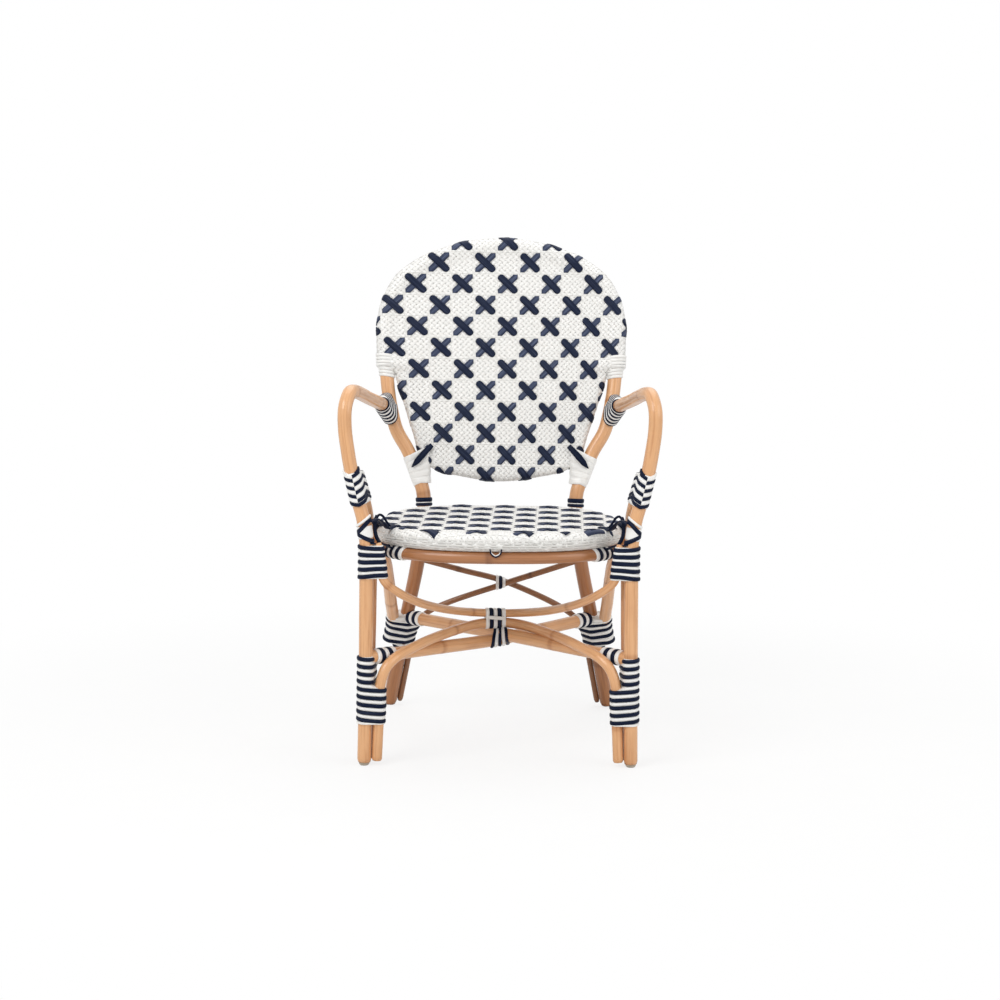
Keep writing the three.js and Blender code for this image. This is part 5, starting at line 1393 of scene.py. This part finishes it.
class CHAIR_OT_centre_bindings(Operator):
    """Wind the bindings where arches, stretchers and rods cross"""

    bl_idname = "chair.centre_bindings"
    bl_label = "Centre Bindings"

    def execute(self, context):
        rise = context.scene.chair_weave.strip_rise
        bundle = bundle_on(["front_lower_arch", "front_upper_arch"], X, *ARCH_COLLAR, FRONT)
        wrap = Wrap("arch_collar", ["centre_arch_binding"], bundle)
        wrap.rings("wnwnw", rise * 0.9)
        wrap.strap("white", ARCH_STRAP, (7.0, 7.0), rise * 0.8, FRONT)
        wrap.pieces()
        crossed = {name: (LINES[name], CROSSING_RADII) for name in STRETCHERS.values()}
        bundle = Bundle(crossed, *across_chair(CROSSING, CROSSING_HALF), FRONT)
        wrap = Wrap("crossing_lashing", ["centre_cross_binding"], bundle)
        for i, tone in enumerate(("navy", "white", "navy", "white", "navy"), start=-2):
            middle = CROSSING_HALF + i * CROSSING_PITCH
            wrap.band(tone, ring(middle, tipped(i * CROSSING_TILT)), CROSSING_WIDTH, rise)
        wrap.pieces()
        rods = {name: pole(name) for name in RODS.values()}
        bundle = Bundle(rods, *across_chair(ROD_CROSSING, ROD_COLLAR_HALF), FRONT)
        collar("rod_collar", "rear_rod_binding", bundle, "wnw", rise * 0.9)
        return {"FINISHED"}


CORNER_LASHING, CORNER_PLACE = (474, 416), (249, -267, 445)
# Straps from each front leg to the seat's rim, on the chair's right: their route, width and facing.
CORNER_STRAPS = (
    ([(237, -279, 459), (227, -263, 462), (216, -243, 452), (206, -220, 438), (198, -210, 441.5), (188, -198, 441)],
     9.0, (0.3, -0.6, 0.7)),
    ([(236, -279, 420), (225, -258, 417), (213, -239, 412), (203, -222, 405), (195, -210, 404)],
     8.0, (0.3, -0.7, -0.6)),
    ([(228, -240, 466), (231.5, -245, 457), (232, -246, 443), (229, -247, 428), (222, -248, 415)], 7.0, (-0.3, -1, 0)),
    ([(238, -196, 446), (231, -207, 457), (225, -210, 464), (219, -207, 461), (213, -202, 451), (206, -196, 440)],
     4.6, (0, -1, 0.3)),
)
# The tilted rings of the same lashings: tone, middle along the leg, tilt, width.
CORNER_RINGS = (("white", 14, -7.5, 5.2), ("navy", 23, -11.0, 10.0), ("navy", 46, 8.5, 9.0))
BRACE_LASHING = ((228.5, -134.0, 445), (228.5, -134.0, 423))
LASHED_RIM = ((228.5, -134.0, 300), (228.5, -134.0, 500))
TIE_LOOP = ((-17, -294.4, 417), (-14.5, -294.6, 403), (-6, -294.8, 397.5), (2.5, -294.6, 403), (5, -294.4, 417))


class CHAIR_OT_lashings(Operator):
    """Tie the seat to the legs and braces, with the small loop at its front"""

    bl_idname = "chair.lashings"
    bl_label = "Lashings"

    def execute(self, context):
        rise = context.scene.chair_weave.strip_rise
        for side, way in SIDES:
            name = f"seat_corner_lashing_{side}"
            place = sided([CORNER_PLACE], way)[0]
            wrap = Wrap(name, [name], bundle_on([f"front_leg_arm_{side}"], Z, *CORNER_LASHING, FRONT, place))
            wrap.lining(rise * 0.4, low=24, high=47)
            for tone, middle, tilt, width in CORNER_RINGS:
                wrap.band(tone, ring(middle, tipped(way * tilt)), width, rise)
            for points, width, facing in CORNER_STRAPS:
                wrap.strap("navy", sided(points, way), (width, width), rise, *sided([facing], way))
            wrap.pieces()
            rim = np.array(sided(LASHED_RIM, way), float)
            joined = {"brace": pole(f"side_brace_{side}"), "rim": (rim, 5.0)}
            bundle = Bundle(joined, *sided(BRACE_LASHING, way), FRONT)
            collar(f"brace_lashing_{side}", f"brace_lashing_{side}", bundle, "nn", rise)
        loop = smooth_line(TIE_LOOP)
        for tone, shift, radius, seed in (("navy", (0, 0, 0), 1.4, 40), ("white", (0, 0.6, 2.3), 1.1, 41)):
            skin = Skin()
            cane(skin, loop + shift, radius, seed, spacing=400)
            skin.piece(f"seat_front_tie_{tone}", f"{tone}_strand", f"{tone}_strip", ["seat_front_tie"])
        return {"FINISHED"}


# Across a glide from its foot up, as radius and height.
GLIDE_PROFILE = (
    (0.01, 0.0), (5.6, 0.0), (6.9, 0.25), (8.2, 1.2), (9.3, 2.6), (9.9, 4.2), (10.0, 5.4), (9.6, 5.95), (7.0, 6.0),
)
GLIDE_PLACES = (("front", 249.0, -267.3), ("rear", 229.0, 285.7))
GLIDE_SIDES = 40


class CHAIR_OT_glides(Operator):
    """Make the foot glides"""

    bl_idname = "chair.glides"
    bl_label = "Glides"

    def execute(self, context):
        turns = np.linspace(0, 2 * math.pi, GLIDE_SIDES, endpoint=False)
        for end, x, y in GLIDE_PLACES:
            for side, way in SIDES:
                rings = [[(way * x + r * math.cos(t), y + r * math.sin(t), z) for t in turns] for r, z in GLIDE_PROFILE]
                skin = Skin()
                skin.grid(np.array(rings), np.array(rings), round_=True, capped=True)
                node = f"foot_glide_{end}_{side}"
                skin.piece(f"{node}_cap", "glide_plastic", "glide", [node])
        return {"FINISHED"}


# Of the camera that matches the photograph, in metres, and in degrees down, rolled and to the left.
CAMERA_PLACE = (0.0082, -4.7188, 1.0464)
CAMERA_TURN = (5.0, 0.45, 0.109)
CAMERA_SHIFT = -0.0841
FLOOR_HALF = 7.0
# The floor shows this share of plain white near the chair, and all white between these distances and beyond.
FLOOR_GLOW = 0.8
GLOW_RISE = (0.7, 1.7)
# Lamps by name: where they stand and their size, in metres. All of them point at the chair's middle.
LAMPS = {
    "key_light": ((-1.9, -2.3, 2.9), 2.2),
    "fill_light": ((2.6, -1.7, 1.9), 2.4),
    "top_light": ((0.2, 0.9, 3.2), 2.6),
}
LAMP_AIM = (0, 0, 0.45)


class CHAIR_OT_stage(Operator):
    """Set the floor, the light and the camera"""

    bl_idname = "chair.stage"
    bl_label = "Stage"

    def execute(self, context):
        scene = context.scene
        stage = scene.chair_stage
        scene.view_settings.view_transform = "Standard"
        self.add_camera(scene, stage)
        self.add_floor(scene, stage)
        self.add_world(scene, stage)
        for name in LAMPS:
            self.add_lamp(scene, name, stage.key_power if name == "key_light" else stage.fill_power)
        return {"FINISHED"}

    def add_camera(self, scene, stage):
        lens = bpy.data.cameras.new("photo_camera")
        lens.lens = stage.focal_length
        lens.shift_y = CAMERA_SHIFT
        camera = bpy.data.objects.new("photo_camera", lens)
        camera.location = CAMERA_PLACE
        down, roll, left = map(math.radians, CAMERA_TURN)
        tilt = Euler((math.pi / 2 - down, 0, left)).to_matrix()
        camera.rotation_euler = (tilt @ Euler((0, 0, roll)).to_matrix()).to_euler()
        scene.collection.objects.link(camera)
        scene.camera = camera

    def add_floor(self, scene, stage):
        mesh = bpy.data.meshes.new("studio_floor")
        corners = [(x * FLOOR_HALF, y * FLOOR_HALF, 0) for x, y in ((-1, -1), (1, -1), (1, 1), (-1, 1))]
        mesh.from_pydata(corners, [], [(0, 1, 2, 3)])
        finish = Finish("studio_floor")
        place = finish.place()
        grain = finish.noise(place, scale=9, detail=3)
        darker = tuple(part * 0.985 for part in stage.floor)
        finish.surface(
            Base_Color=finish.mixed(stage.floor[:], darker, grain.ramp(0.4, 0.7)),
            Roughness=0.9,
            Specular_IOR_Level=0.1,
        )
        glow = finish.add("ShaderNodeEmission", {}, {"Color": (1, 1, 1), "Strength": 1.0})
        seen = Field(finish, finish.add("ShaderNodeLightPath").outputs["Is Camera Ray"])
        away = finish.add("ShaderNodeVectorMath", {"operation": "LENGTH"}, {0: place}).outputs["Value"]
        shown = seen * (FLOOR_GLOW + Field(finish, away).ramp(*GLOW_RISE) * (1 - FLOOR_GLOW))
        finish.fill(finish.output.inputs["Surface"], finish.blend(shown, finish.shader, glow))
        mesh.materials.append(finish.material)
        floor = bpy.data.objects.new("studio_floor", mesh)
        scene.collection.objects.link(floor)

    def add_world(self, scene, stage):
        """Even light from all round, which the camera and mirrors see as plain white."""
        scene.world = bpy.data.worlds.new("studio")
        nodes = Nodes(scene.world)
        path = nodes.add("ShaderNodeLightPath").outputs
        seen = Field(nodes, path["Is Camera Ray"])
        for other in ("Is Glossy Ray", "Is Transmission Ray"):
            seen = seen.or_more(path[other])
        even, white = (
            nodes.add("ShaderNodeBackground", {}, {"Color": (1, 1, 1), "Strength": strength})
            for strength in (stage.sky, 1.0)
        )
        nodes.add("ShaderNodeOutputWorld", {}, {"Surface": nodes.blend(seen, even, white)})

    def add_lamp(self, scene, name, power):
        place, size = LAMPS[name]
        lamp = bpy.data.lights.new(name, "AREA")
        lamp.size = size
        lamp.energy = power
        made = bpy.data.objects.new(name, lamp)
        made.location = place
        made.rotation_euler = (Vector(LAMP_AIM) - Vector(place)).to_track_quat("-Z", "Y").to_euler()
        scene.collection.objects.link(made)


OPERATORS = (
    CHAIR_OT_stage,
    CHAIR_OT_poles,
    CHAIR_OT_back_weave,
    CHAIR_OT_seat_weave,
    CHAIR_OT_leg_windings,
    CHAIR_OT_collars,
    CHAIR_OT_arm_bindings,
    CHAIR_OT_centre_bindings,
    CHAIR_OT_lashings,
    CHAIR_OT_glides,
)


class CHAIR_PT_sidebar(Panel):
    """Lists the chair's pieces"""

    bl_idname = "CHAIR_PT_sidebar"
    bl_label = "Rattan Armchair"
    bl_space_type = "VIEW_3D"
    bl_region_type = "UI"
    bl_category = "Chair"

    def draw(self, context):
        for group in settings():
            box = self.layout.box()
            for name in group.bl_rna.properties.keys():
                if name not in ("rna_type", "name"):
                    box.prop(group, name)
        for operator in OPERATORS:
            self.layout.operator(operator.bl_idname)


GROUPS = {
    "chair_poles": ChairPoleSettings,
    "chair_weave": ChairWeaveSettings,
    "chair_stage": ChairStageSettings,
}


def register():
    for part in (*GROUPS.values(), *OPERATORS, CHAIR_PT_sidebar):
        bpy.utils.register_class(part)
    for name, group in GROUPS.items():
        setattr(bpy.types.Scene, name, PointerProperty(type=group))


def unregister():
    for name in GROUPS:
        delattr(bpy.types.Scene, name)
    for part in (CHAIR_PT_sidebar, *reversed(OPERATORS), *GROUPS.values()):
        bpy.utils.unregister_class(part)


def main():
    register()
    for operator in OPERATORS:
        group, name = operator.bl_idname.split(".")
        getattr(getattr(bpy.ops, group), name)()


if __name__ == "__main__":
    main()
